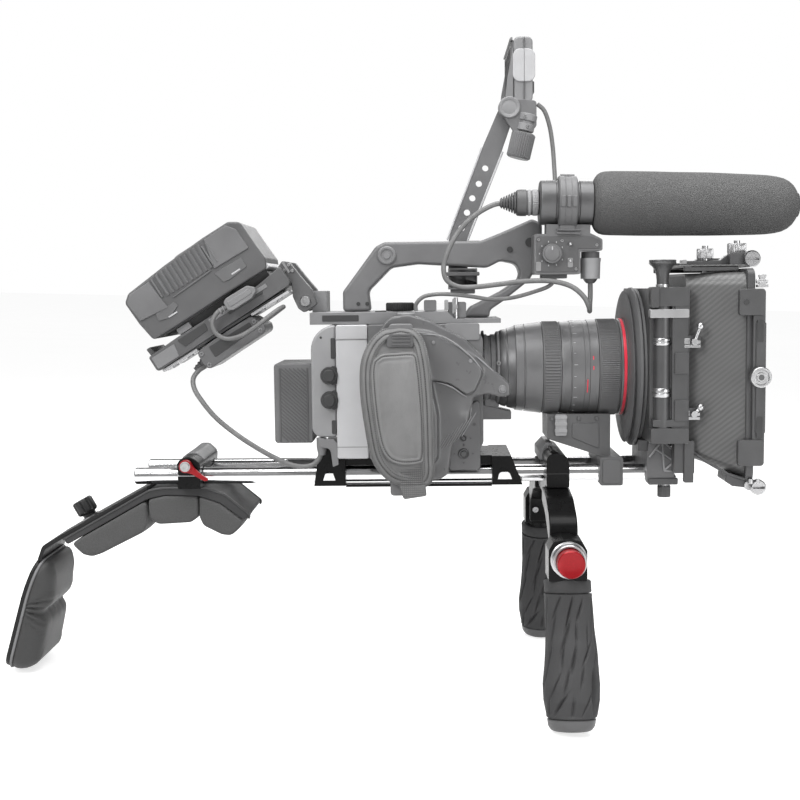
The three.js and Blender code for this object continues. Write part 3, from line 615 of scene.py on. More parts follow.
LENS_GLASS = glass("coated_glass", 0.02, 2.2)
SCREEN = moulded("screen_antiglare", 0.03, 0.55, 0.4, 0.02, 0.1, spec=0.04)
LEAD = jacket("cable_jacket_grey", 0.15)


def add_cable(name, route, radius, node, body="base", place=None, bend=None):
    line = smooth_line(route, 10)
    obj = piece(name, Form().tube(line, radius, 16), LEAD, None if bend else body, place, 0, node, 40)
    if bend:
        other, start, end = bend
        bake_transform(obj, body, other, start=row(start), end=row(end))
    return obj


BATTERY = at(-112, 0, 155, -31.5)


def relief(form, tip, tail, radius, rings, place):
    """A stepped strain relief that tapers along a straight stretch from tip to tail."""
    a, b = Vector(tip), Vector(tail)
    line, radii = [], []
    for k in range(rings * 4 + 1):
        t = k / (rings * 4)
        line.append(a.lerp(b, t))
        radii.append(radius * (1 - 0.38 * t) * (1.0 if k % 4 in (0, 1) else 0.82))
    return form.tube(line, radii, 24, place)


def add_cables():
    mic_plugs = Form()
    mic_plugs.turned('x', [[60, 0], [60, 3.4], [66, 4.4], [74, 7.6], [74, 10.2], [75, 11.2], [78, 11.5],
        [82.6, 11.5], [83, 10.7], [93.4, 10.7], [93.4, 0]], -40, 238.5)
    for k in range(6):
        x, r = 60.6 + 2.3 * k, 4.2 + 1.0 * k
        mic_plugs.turned('x', [[x, 0], [x, r], [x + 1.3, r + 0.7], [x + 1.3, 0]], -40, 238.5, 32)
    mic_plugs.turned('z', [[168, 0], [168, 3.4], [170, 5.2], [174, 7.6], [176, 8], [195.4, 8], [195.4, 0]],
        139, -36, 48)
    plug = piece("mic_plugs", mic_plugs, DEEP, "base", edge=0.3)
    shells = Form().knurled('x', 11.4, 84, 86.6, -40, 238.5, 36, 0.5).knurled('x', 11.4, 88, 93, -40, 238.5,
        36, 0.5)
    shells.turned('z', [[172, 7.2], [172, 8.4], [186, 8.8], [188, 9.2], [190, 9.2], [190, 7.2]],
        139, -36, 48)
    piece("mic_plug_shells", shells, GREY, "base", edge=0.1)
    route = [[66, -40, 238.5], [56, -40, 237.5], [44, -40.5, 232], [32, -41, 223], [21, -42, 210],
        [14, -43, 196], [10.5, -43.5, 183], [13, -44, 172.5], [23, -45, 166.5], [38, -46, 166],
        [58, -47.5, 168], [82, -51, 170.5], [105, -55.5, 170], [121, -59, 165], [131, -60.5, 156],
        [135.5, -57, 147.5], [137, -49, 144], [138, -41, 148], [139, -36.5, 157], [139, -36, 171]]
    add_cable("mic_cord", route, 2.2, "mic_cable")
    add_cable("handle_cord", [
        [-14, -43, 145.6], [-14, -43.5, 151], [-8, -44.5, 157.5], [4, -45, 160], [20, -43, 159.5],
        [36, -39, 157.5], [52, -34, 155], [70, -30, 156], [90, -28, 161], [105, -28, 167], [110, -28, 175],
    ], 1.8, "handle_lead")

    power = Form().turned('z', [[20, 0], [20, 3.2], [27, 4.6], [35.4, 4.6], [35.4, 0]], -98, -49.9, 32)
    power.slab('y', [[-100, 34.5], [-87, 34.5], [-84, 31], [-83, 12], [-88, 10], [-90, 26, 4],
        [-100, 28, 3]], -56, -50)
    plug = piece("power_plug", power, MID, "base", edge=0.5)
    add_cable("power_cord", [
        [-202.5, -30, 98.3], [-208, -34, 94.5], [-212, -39, 88], [-210.5, -44, 79.5], [-203, -47.5, 68],
        [-191, -50, 54], [-172, -51.5, 38.5], [-154, -52, 26.5], [-138, -52, 17.5], [-126, -52, 12.2],
        [-115, -51.5, 10], [-106, -51, 11.8], [-100.5, -50.3, 17], [-98.3, -49.9, 24],
    ], 2.2, "power_cable", body="battery_mount",
        bend=("base", (-204, -40, 92), (-130, -50, 16)))
    add_cable("monitor_cord", [[97.2, 13, 330], [103, 15, 325], [108, 16.5, 312], [111, 17, 294],
        [112.5, 15, 272], [113, 8, 250], [113, -3, 232], [113, -14, 221], [113, -19, 211.9],],
        2.0, "monitor_cable", body="monitor_body", bend=("base", (105, 15, 318),
        (113, 0, 236)))

    lead_plug = Form().slab('y', [[-59, 28, 2], [-55, 26, 2], [-36, 26, 2], [-30, 29, 2], [-29, 33, 2],
        [-34, 37.6, 2], [-55, 38, 2], [-59, 36, 2]], -57, -45.3)
    lead_plug.slab('y', [[-56, 29.4, 1], [-33, 29.4, 1], [-33, 34.6, 1], [-56, 35, 1]], -57.6, -56)
    for u in (-63, -66.5):
        lead_plug.bar('x', 3.1, u, u + 1.8, -51.5, 31.5, 24)
    plug = piece("battery_lead_plug", lead_plug, MID, "battery_mount", BATTERY, 0.8)
    add_cable("battery_cord", [
        [-57, -51, 31], [-68, -52, 32], [-77, -52, 27], [-79.5, -52, 18], [-75, -52, 9], [-65, -51.5, 4.5],
        [-50, -51, 3.5], [-34, -50, 5], [-23, -45, 6], [-18.5, -37, 6], [-22, -30, 6], [-31, -26.5, 5.5],
        [-39.5, -26, 5],
    ], 2.0, "battery_lead", body="battery_mount", place=BATTERY)


add_cables()


# ---------- rods and base ----------
def add_rods():
    for name, y in (("rod_right", -ROD_SIDE), ("rod_left", ROD_SIDE)):
        tube = Form().turned('x', [[-261, 0], [-261, 4.2], [-266.8, 4.2], [-268, 5], [-268, 6.6],
            [-267, 7.5], [225, 7.5], [226, 6.6], [226, 5], [224.8, 4.2], [219, 4.2], [219, 0]], y, 0, 96)
        piece(name + "_tube", tube, CHROME, "base", edge=0, replaces=name, angle=25)


def add_baseplate():
    bolts = Form()
    refined("baseplate", BLACK, "base", 0.9)
    for x in (-60, -20, 20):
        bolts.socket_screw('z', 3.4, -10.6, -9.2, x, 0, -1)
    piece("baseplate_bolts", bolts, BRIGHT, "base", edge=0)
    lip = Form().box(-78, 52, -38.4, -34, -10.4, -7.8).box(-78, 52, 34, 38.4, -10.4, -7.8)
    piece("baseplate_edges", lip, BLACK, "base", edge=0.3)
    windows = Form()
    for side in (-1, 1):
        for middle in (-92, 63):
            windows.slab('y', [[middle - 7.4, -5.6, 1], [middle - 4.4, 2.6, 3], [middle + 4.4, 2.6, 3],
                [middle + 7.4, -5.6, 1]], side * 39.2, side * 41.3)
    piece("baseplate_windows", windows, CHROME, "base", edge=0.3)


# ---------- shoulder mount ----------
PLATE_TOP = [[-332, -55, 3], [-254, -11.5, 12], [-242, -9.6, 6], [-203, -9.6, 14], [-186, -16, 16],
    [-163, -35, 4]]
PLATE_UNDER = [[-170, -39.5, 2], [-191, -24, 14], [-210, -17.5, 12], [-240, -16.5, 10], [-256, -20, 8],
    [-330, -61, 3]]
CUSHIONS = {"front": [[-209, -18.3], [-191, -24.5, 10], [-171.5, -39.5, 2], [-172, -45, 5], [-181, -53, 6],
    [-189, -52.5, 6], [-206, -44, 6], [-209.5, -36, 4]], "middle": [[-255, -20.3, 2], [-240, -17, 8],
    [-210.5, -18, 3], [-211, -36, 5], [-217, -41, 6], [-247, -42.5, 8], [-254, -37, 6]],
    "rear": [[-324, -58.5, 2], [-257, -21.3, 2], [-256.5, -43, 6], [-261, -50, 6], [-298, -68.5, 8],
    [-307, -71.5, 8], [-315, -69.5, 6], [-323, -62, 4]],}


def inset_ring(points, amount):
    """The outline moved inwards along its corner normals."""
    count = len(points)
    area = sum(points[i].x * points[(i + 1) % count].y - points[(i + 1) % count].x * points[i].y
               for i in range(count))
    turn = 1 if area > 0 else -1
    ring = []
    for i in range(count):
        along = (points[(i + 1) % count] - points[i - 1]).normalized()
        ring.append(points[i] + Vector((-along.y, along.x)) * turn * amount)
    return ring


def resampled(points, count):
    """The closed outline cut into equal lengths."""
    lengths = [(points[(i + 1) % len(points)] - points[i]).length for i in range(len(points))]
    total, result, i, gone = sum(lengths), [], 0, 0.0
    for k in range(count):
        target = total * k / count
        while gone + lengths[i] < target:
            gone += lengths[i]
            i += 1
        result.append(points[i].lerp(points[(i + 1) % len(points)], (target - gone) / lengths[i]))
    return result


def saddle(x):
    """The height of the shoulder plate's underside at x."""
    return along_chain([corner[:2] for corner in reversed(PLATE_UNDER)], x)


def add_shoulder():
    refined("shoulder_clamp_base", BLACK, "shoulder_mount", 1.0)
    refined("shoulder_clamp_cap", BLACK, "shoulder_mount", 1.6)
    seams = Form().box(-226.3, -205.7, -50.3, 50.3, 2.05, 2.6)
    piece("shoulder_clamp_seam", seams, BRIGHT, "shoulder_mount", edge=0.1)
    # The clamp's top cross bar is coloured mid grey instead of black: a painted highlight of its lit top.
    cross = Form().slab('y', [[-225, 9], [-208, 9], [-206.6, 14, 3], [-213, 20.2, 5], [-220.5, 20.2, 4],
        [-227.4, 15, 3]], -24, 44)
    cross.slab('y', [[-225, 9], [-208, 9], [-206, 14, 3], [-213, 20.8, 5], [-220.5, 20.8, 4],
        [-228, 15, 3]], 41, 47)
    piece("shoulder_clamp_bar_painted_highlight", cross, MID, "shoulder_mount", edge=0.7)

    tail = Form().bar('y', 5.7, -57, -50.3, *LEVER_AXIS)
    tail.slab('y', [[-221, 7], [-213, 4.6, 6], [-206, 0.6, 6], [-201.4, -1.8, 1.6], [-198.4, -1.2, 1],
        [-198.6, 0.6, 1], [-204, 4.2, 8], [-209.6, 9.4, 6], [-213.6, 14.8]], -55.6, -52.6)
    piece("clamp_lever_arm", tail, RED, "clamp_lever_body", edge=0.7, replaces="clamp_lever")
    screw = Form().socket_screw('y', 3.9, -58.4, -56.4, *LEVER_AXIS, -1)
    screw.turned('y', [[-57.6, 0], [-57.6, 4.5], [-56.8, 4.5], [-56.8, 0]], *LEVER_AXIS, 48)
    piece("clamp_lever_screw", screw, BRIGHT, "clamp_lever_body", edge=0)

    half = 40
    shell = Form().slab('y', PLATE_UNDER + PLATE_TOP, -half, half, arc=10)
    piece("shoulder_shell_plate", shell, PLATE, "shoulder_mount", edge=1.3, replaces="shoulder_plate",
          segments=3)
    trim = Form()
    top = rounded([[-333, -57]] + PLATE_TOP + [[-168, -40]], 10)[1:-1]
    for y in (-half, half):
        trim.tube([(p.x, y, p.y - 0.2) for p in top], 1.0, 12)
    piece("shoulder_trim", trim, TRIM, "shoulder_mount", edge=0)
    bolts = Form()
    for y in (-14, 14):
        bolts.socket_screw('z', 4, -9.8, -7.8, -234, y, 1)
    piece("shoulder_bolts", bolts, BRIGHT, "shoulder_mount", edge=0)

    for where, corners in CUSHIONS.items():
        crown = lambda p: Vector((p.x, p.y, p.z - 1.4 * max(0.0, 1 - (p.y / 40) ** 2) * min(1.0, max(
            0.0, (saddle(p.x) - p.z) / 16))))
        pad = sculpted("shoulder_pad_" + where, Form().slab('y', corners, -half - 1.2, half + 1.2),
            KIT_FOAM, "shoulder_mount", 1.1, 12, crown, replaces="shoulder_cushion_" + where)


def add_back_pad():
    strip = Form().slab('y', [
        [-256, -12.2], [-330, -53.4], [-350, -64.8, 6], [-354.2, -76], [-357.4, -74.6], [-352.6, -61.8, 8],
        [-332, -50], [-256, -8.4]], -38.6, 38.6, arc=10)
    piece("back_arm_strip", strip, BLACK_STEEL, "back_pad", edge=0.9)
    # The pad's own axes: s runs down along its back plate, n forwards out of it.
    place = Matrix.Translation((-362.6, 0, -90)) @ Matrix(
        ((-0.267, 0, 0.9637, 0), (0, 1, 0, 0), (-0.9637, 0, -0.267, 0), (0, 0, 0, 1)))
    outline = resampled(rounded([[-17, -43, 15], [-17, 43, 15], [86, 46, 14], [86, -46, 14]], 14), 400)
    bow = lambda s: 0.0028 * max(0.0, 24.0 - s) ** 2

    def rim(inset, n):
        return [(p.x, p.y, n + bow(p.x)) for p in inset_ring(outline, inset)]

    plate = Form().loft([rim(0.4, -4.0), rim(0, -3.4), rim(0, -0.6), rim(0.5, 0.0)], place=place)
    piece("back_plate", plate, BLACK_STEEL, "back_pad", edge=0, replaces="back_arm",
        angle=50)
    # The piping round the plate's rim is real; its mid grey colour is a painted highlight along it.
    piping = Form().tube(rim(-0.1, 1.0), 1.3, 12, place, closed=True)
    piece("back_piping_painted_highlight", piping, MID, "back_pad", edge=0)

    def thickness(s):
        full = 16 + 6.5 * min(1.0, max(0.0, (s + 10) / 24)) + 2.4 * min(1.0, max(0.0, (s - 30) / 50))
        return full - 6.4 * exp(-((s - 30) / 6.0) ** 2)

    rings, middle = [], centroid(outline)
    folds = ((14, -20, 1.6), (20, -9, 2.8), (26, -3, 3.2), (32, 2, 3.0), (38, 8, 2.4), (45, 18, 1.7))
    for inset, part in ((0.6, 0.0), (-0.3, 0.1), (-0.6, 0.2), (-0.2, 0.34), (0.6, 0.44), (1.8, 0.56),
            (4, 0.7), (7, 0.84), (10.5, 0.94), (14.5, 0.985), (18.5, 1.0)):
        ring = []
        for p in inset_ring(outline, inset):
            dent = sum(deep * exp(-((p.x - s0 - lean * (part - 0.6)) / 1.1) ** 2) for s0, lean,
                deep in folds)
            dent *= sin(pi * min(1.0, part * 1.05)) ** 0.7 if abs(p.y) > 24 else 0.0
            ring.append((p.x, p.y * (1 - dent / 43),
                1.4 + bow(p.x) + part * (thickness(p.x) - 1.4) - 0.5 * dent * part))
        rings.append(ring)
    last = inset_ring(outline, 18.5)
    for k in range(1, 9):
        t = 1 - k / 8.5
        ring = []
        for q in shrunk(last, middle, t):
            crease = 0.8 * exp(-((abs(q.y) - 17) / 2.2) ** 2) * exp(-((q.x - 30) / 11) ** 2)
            ring.append((q.x, q.y, bow(q.x) + thickness(q.x) + 0.5 * (1 - t * t) - crease))
        rings.append(ring)
    rings = [[(s, y, max(n, 0.2)) for s, y, n in ring] for ring in rings]
    pad = piece("back_pad_cushion", Form().loft(rings, place=place), BACK_FOAM, "back_pad", edge=0,
                replaces="back_cushion", angle=80)

    knob_place = at(-317, 0, -42.6, -28.87)
    lobes = lambda i, along, r: r - (1.5 * max(0.0, cos(8 * TAU * i / 96)) ** 3 if 7 < along < 17.5 else 0)
    knob = Form().turned('z', [[4.6, 0], [4.6, 6.4], [5.4, 8.6], [6.4, 9.4], [7.4, 9.6], [17, 9.6],
        [18.4, 8.8], [19, 7.4], [18.3, 6.4], [18.3, 0]], 0, 0, 96, wobble=lobes)
    knob.turned('z', [[0.3, 0], [0.3, 6.2], [5, 6.2], [5, 0]], 0, 0, 48)
    piece("back_knob_grip", knob, BLACK_PLASTIC, "back_knob_body", knob_place, 0.3, "back_knob")
    washer = Form().turned('z', [[0.3, 0], [0.3, 8.5], [1.7, 8.5], [2.2, 7.6], [2.2, 0]], 0, 0, 48)
    piece("back_knob_washer", washer, BRIGHT, "back_knob_body", knob_place, 0)


# ---------- handles ----------
def groove_depth(angle, z, grooves):
    """How deep the grip's surface lies at this angle and height, from its list of slanting dents."""
    deep = 0.0
    for a0, z0, length, width, depth, slant in grooves:
        v = (z - z0) / length
        if abs(v) > 1.6:
            continue
        u = (angle - a0 - slant * v + pi) % TAU - pi
        u /= width * max(0.35, 1 - 0.25 * v * v)
        if abs(u) < 2.5:
            deep = max(deep, depth * exp(-u * u) * exp(-(abs(v) ** 2.6)))
    return deep


def add_handle(side, name):
    joint = Form().slab('y', [
        [92.3, -72], [123.7, -72], [123.7, -47, 2], [119.6, -39.6, 2], [112, -37.8, 3], [104, -37.8, 3],
        [96.4, -39.6, 2], [92.3, -47, 2]], side * 117, side * 149)
    joint.bar('z', 13, -80, -71, 108.5, side * 131)
    body = "handle_" + name
    piece(f"joint_{name}", joint, BLACK, body, edge=1.0, replaces=f"handle_joint_{name}",
        segments=3)
    bezel = Form().turned('y', [[side * 148.8, 0], [side * 148.8, 14.6], [side * 150, 14.8],
        [side * 150.6, 13.8], [side * 159.6, 13.8], [side * 160.2, 13.2], [side * 160.2, 11.9],
        [side * 155, 11.7], [side * 155, 0]], *HANDLE_JOINT, 96)
    for x, turn in ((98.6, -32), (118.4, 32)):
        bezel.socket_screw('z', 3.4, -2.4, 0.3, 0, 0, 1, at(x, side * 130, -41.6, turn))
    piece(f"joint_bezel_{name}", bezel, BRIGHT, body, edge=0, angle=24)
    y = lambda t: side * t
    button = Form().turned('y', [[y(158.3), 0], [y(158.3), 10.8], [y(158.8), 11.2], [y(166.2), 11.2],
        [y(166.5), 10.8], [y(167), 10.8], [y(167.3), 11.2], [y(170.2), 11.2], [y(171), 10.4], [y(170.4), 8],
        [y(169.9), 4], [y(169.8), 0]], *HANDLE_JOINT, 128)
    piece(f"button_cap_{name}", button, RED, "button_" + name, edge=0, replaces=f"release_button_{name}",
          angle=24)

    rnd = random.Random(7)
    grooves = []
    for z0, count, shift in ((-24, 11, 0.0), (-42, 12, 0.35), (-61, 12, 0.1), (-80, 12, 0.6),
            (-99, 11, 0.3)):
        for k in range(count):
            a0 = TAU * (k + shift + rnd.uniform(-0.15, 0.15)) / count
            grooves.append((a0, z0 + rnd.uniform(-5, 5), rnd.uniform(8, 14), rnd.uniform(0.03, 0.065),
                rnd.uniform(2.0, 3.4), rnd.uniform(0.0, 0.28)))
    grooves.append((-0.66, -88, 14, 0.15, 9.0, 0.0))
    profile = [[-110.2, 20.6], [-106, 21.6], [-97, 23.2], [-84, 23.6], [-68, 22.3], [-40, 20.2],
        [-16, 19.8], [-11, 19.6]]

    def tiers(levels, count=128):
        return [[hand(z, r, TAU * i / count) for i in range(count)] for z, r in levels]

    swell = lambda z: 2.2 * sin(min(1.0, -z / 121.5) * pi * 0.8)
    hand = lambda z, r, a: (r * cos(a) + swell(z), 0.92 * r * sin(a), z)
    count, rows, rings = 220, 190, []
    rings += tiers([(-110.9, 18.6)], count)
    for k in range(rows + 1):
        z = -110.2 + (110.2 - 11.3) * k / rows
        ease = min(1.0, k / 5, (rows - k) / 5)
        ring = []
        for i in range(count):
            a = TAU * i / count
            wave = 0.35 * sin(3 * a + z * 0.09) + 0.25 * sin(5 * a - z * 0.13)
            r = along_chain(profile, z) - ease * (groove_depth(a, z, grooves) + 0.25 - 0.5 * wave)
            ring.append(hand(z, r, a))
        rings.append(ring)
    rings += tiers([(-11.0, 18.0)], count)
    place = at(108.8, side * 132.5, -74, side * 10, 'X')
    piece(f"grip_sleeve_{name}", Form().loft(rings), RUBBER, body, place, 0, f"grip_{name}",
        50)
    collar = Form().loft(tiers([[-10.6, 17.2], [-10.2, 18.9], [-9.4, 19.4], [-1.2, 19.4], [0, 18.4],
        [0.2, 12]]))
    piece(f"grip_collar_{name}", collar, RUBBER, body, place, 0, angle=40)
    # Painted shade: a near-black core inside the sleeve, there so the grip's slot and deep grooves look
    # dark.
    slot_shade = Form().loft(tiers([(-113, 18.2), (-110, 18.4), (-4, 17.0)]))
    piece(f"grip_core_painted_shade_{name}", slot_shade, RECESS, body, place, 0)
    cap = Form().loft(tiers([(-121.2, 14.4), (-121.2, 15.6), (-120.4, 17.0), (-117.5, 19.0), (-112.4, 19.9),
        (-111.6, 19.2)]))
    piece(f"grip_cap_{name}", cap, CAP_RUBBER, body, place, 0, angle=40)


def add_handles():
    refined("handle_clamp", BLACK, "handle_mount", 1.2)
    seam = Form().box(98.7, 119.3, -53.25, 53.25, 1.9, 2.3)
    piece("handle_clamp_seam", seam, RECESS, "handle_mount", edge=0)
    block = Form().slab('y', [[96, 9], [108, 9], [108, 24.5, 1], [102.5, 24.5, 1], [96, 17.5, 1]], -9, 45)
    piece("handle_clamp_block", block, GREY, "handle_mount", edge=0.5)
    ridge = Form().slab('y', [[107, 14], [118, 13], [117, 15.5, 2], [106, 22.4, 2], [103, 22, 1]], -46, -14)
    piece("handle_clamp_rail", ridge, BLACK, "handle_mount", edge=0.5)
    for name, side in (("right", -1), ("left", 1)):
        refined(f"handle_arm_{name}", BLACK, "handle_mount", 1.3)
        screws = Form().socket_screw('y', 3.2, side * 102.6, side * 104.4, 101.5, -56, -side)
        piece(f"handle_arm_screws_{name}", screws, BRIGHT, "handle_mount", edge=0)
        add_handle(side, name)


# ---------- camera body ----------
def add_camera_body():
    arc = 21.7
    corner = [[-84.3 - arc * sin(radians(a)), 112.6 + arc * cos(radians(a))] for a in range(0, 91, 9)]
    rear = Form().slab('y', [[-106, 36, 9], [-84.3, 36]] + corner, -54, 54, arc=10)
    piece("rear_cover", rear, GREY, "base", edge=2.2, replaces="camera_rear_cover",
        segments=4)
    jacks = Form()
    for z in (90.5, 69):
        jacks.turned('y', [[-62.5, 0], [-62.5, 4.6], [-61.6, 5.2], [-59.5, 5.2], [-59.5, 7.2], [-58.8, 7.6],
            [-53, 7.6], [-53, 0]], -90, z, 48)
        jacks.block('y', (-89, -83, z - 8.4, z + 8.4, 3), -57.4, -53.2)
    piece("rear_jacks", jacks, RECESS, "base", edge=0.4)
    ports = Form()
    for z, tall in ((114, 9), (45, 6)):
        ports.block('y', (-88.5, -84.6, z - tall, z + tall, 1), -54.7, -53)
    ports.bar('y', 1.1, -54.5, -53, -97, 123.5, 24)
    piece("rear_ports", ports, RECESS, "base", edge=0.2)
    back = Form()
    for k in range(9):
        back.block('z', (-107.2, -105.6, -38 + k * 1.6, -37.2 + k * 1.6), 52, 62)
    piece("rear_vents", back, RECESS, "base", edge=0)
    back_panel = Form().block('x', (-46, 46, 93, 108, 3), -106.25, -104)
    piece("rear_panel", back_panel, DARK, "base", edge=0.5)

    chassis = Form().block('y', (-84, -56, 17.2, 134.3, 2), -57, 57)
    piece("chassis_body", chassis, SILVER, "base", edge=1.6, replaces="camera_chassis")
    lines = Form()
    for side in (-1, 1):
        for z0, z1 in ((121.1, 121.8), (27.4, 28.0)):
            lines.block('y', (-84.2, -56.2, z0, z1), side * 56.4, side * 57.1)
    piece("chassis_lines", lines, MID, "base", edge=0)
    # Painted highlight: a pale strip along the top of the silver side, where its rounded top catches the
    # light.
    painted_top_highlight = Form().block('y', (-83.6, -56.4, 122.2, 133.8, 1), -57.5, -56.6)
    piece("chassis_painted_top_highlight", painted_top_highlight, PALE, "base", edge=0.3)

    shell = Form().slab('y', [[-55.7, 17.2, 1], [34, 17.2, 6], [44, 30, 8], [44, 122, 10], [34, 134.3, 6],
        [-55.7, 134.3, 1]], -57, 57, arc=8)
    piece("front_shell", shell, DARK, "base", edge=3.0, replaces="camera_front_shell",
        segments=4)
    trims = Form()
    trims.block('y', (11, 41, 120, 134.8, 2), -58.2, -56)
    trims.block('y', (18, 27, 112, 118, 1.5), -58, -56)
    trims.slab('y', [[29, 103, 1], [38, 112, 1], [43, 108, 1], [43, 96, 1]], -58.6, -56)
    piece("shell_panels", trims, MID, "base", edge=0.6)
    doors = Form()
    for x0, x1, z0, z1 in ((-46, 8, 84, 122), (-46, 8, 46, 80), (14, 36, 60, 118)):
        doors.block('y', (x0, x1, z0, z1, 4), 56, 58)
    doors.block('y', (-46, 34, 22, 41, 4), 56, 58)
    piece("left_doors", doors, MID, "base", edge=0.5)
    screen = Form().block('y', (-38, 0, 90, 117, 2), 57, 58.5)
    piece("left_display", screen, SCREEN, "base", edge=0.3)
    keys = Form()
    for k in range(5):
        for z in (66, 55):
            keys.block('y', (-40 + k * 9, -34 + k * 9, z, z + 4, 1.5), 57, 59)
    for z in (72, 88, 104):
        keys.turned('y', [[57, 0], [57, 4.6], [59.6, 4.4], [60, 3.6], [60, 0]], 25, z, 40)
    piece("left_keys", keys, DEEP, "base", edge=0.3)

    battery = Form().block('y', (-141, -106.4, 29, 100, 3), -35, 35)
    piece("slide_battery", battery, DARK, "camera_battery_body", edge=1.6, replaces="camera_battery",
          segments=3)
    ribs = Form()
    for side in (-1, 1):
        low, high = (-35.7, -34.6) if side < 0 else (34.6, 35.7)
        for k in range(24):
            top = 36.5 + k * 3.3
            left, right = -135 + max(0, top - 95.5) * 1.1, min(-112.0, -135 + (top - 31) * 1.1)
            ribs.slab('y', [[x, top - (x + 135) / 1.1 + lift] for x, lift in ((left, 0.8), (right, 0.8),
                (right, -0.8), (left, -0.8))], low, high)
        for x0, x1 in ((-136.4, -135), (-112, -110.6)):
            ribs.block('y', (x0, x1, 30.5, 96, 0.4), low, high)
    piece("slide_battery_ribs", ribs, DEEP, "camera_battery_body", edge=0.15)

    refined("top_plate", MID, "base", 0.8)
    inlay = Form().block('y', (-96, -64, 137.2, 142.6, 0.8), -48.5, -47)
    inlay.block('z', (-50, -40, -44, -36, 1), 144, 146)
    for x in (-70, -45, -20):
        for y in (-32, 0, 32):
            inlay.bar('z', 2.4, 144.2, 145.15, x, y, 24)
    piece("top_plate_inlays", inlay, RECESS, "base", edge=0)
    clamp = Form().block('y', (-7, 4, 145.2, 155, 1.5), -44, -28)
    clamp.block('y', (14, 30, 139, 153, 1.5), -42, -26)
    piece("top_plate_shoes", clamp, DARK, "base", edge=0.6)
    silver = Form().block('y', (11, 14.4, 146, 155, 0.8), -45, -36).bar('y', 2.2, -46, -36, 20.5, 149)
    silver.block('y', (17.8, 19.8, 143, 156, 0.8), -44.5, -43)
    silver.bar('z', 1.8, 138, 157, 21, -43.4)
    piece("top_plate_hardware", silver, BRIGHT, "base", edge=0.2)
    wheel = Form().knurled('z', 12.5, 145.4, 152.9, -28.5, -22, 44, 0.7)
    wheel.turned('z', [[152.5, 0], [152.5, 7], [153, 6.4], [153, 0]], -28.5, -22, 40)
    piece("thumbwheel_knurled", wheel, BLACK_PLASTIC, "thumbwheel_body", edge=0, replaces="thumbwheel")


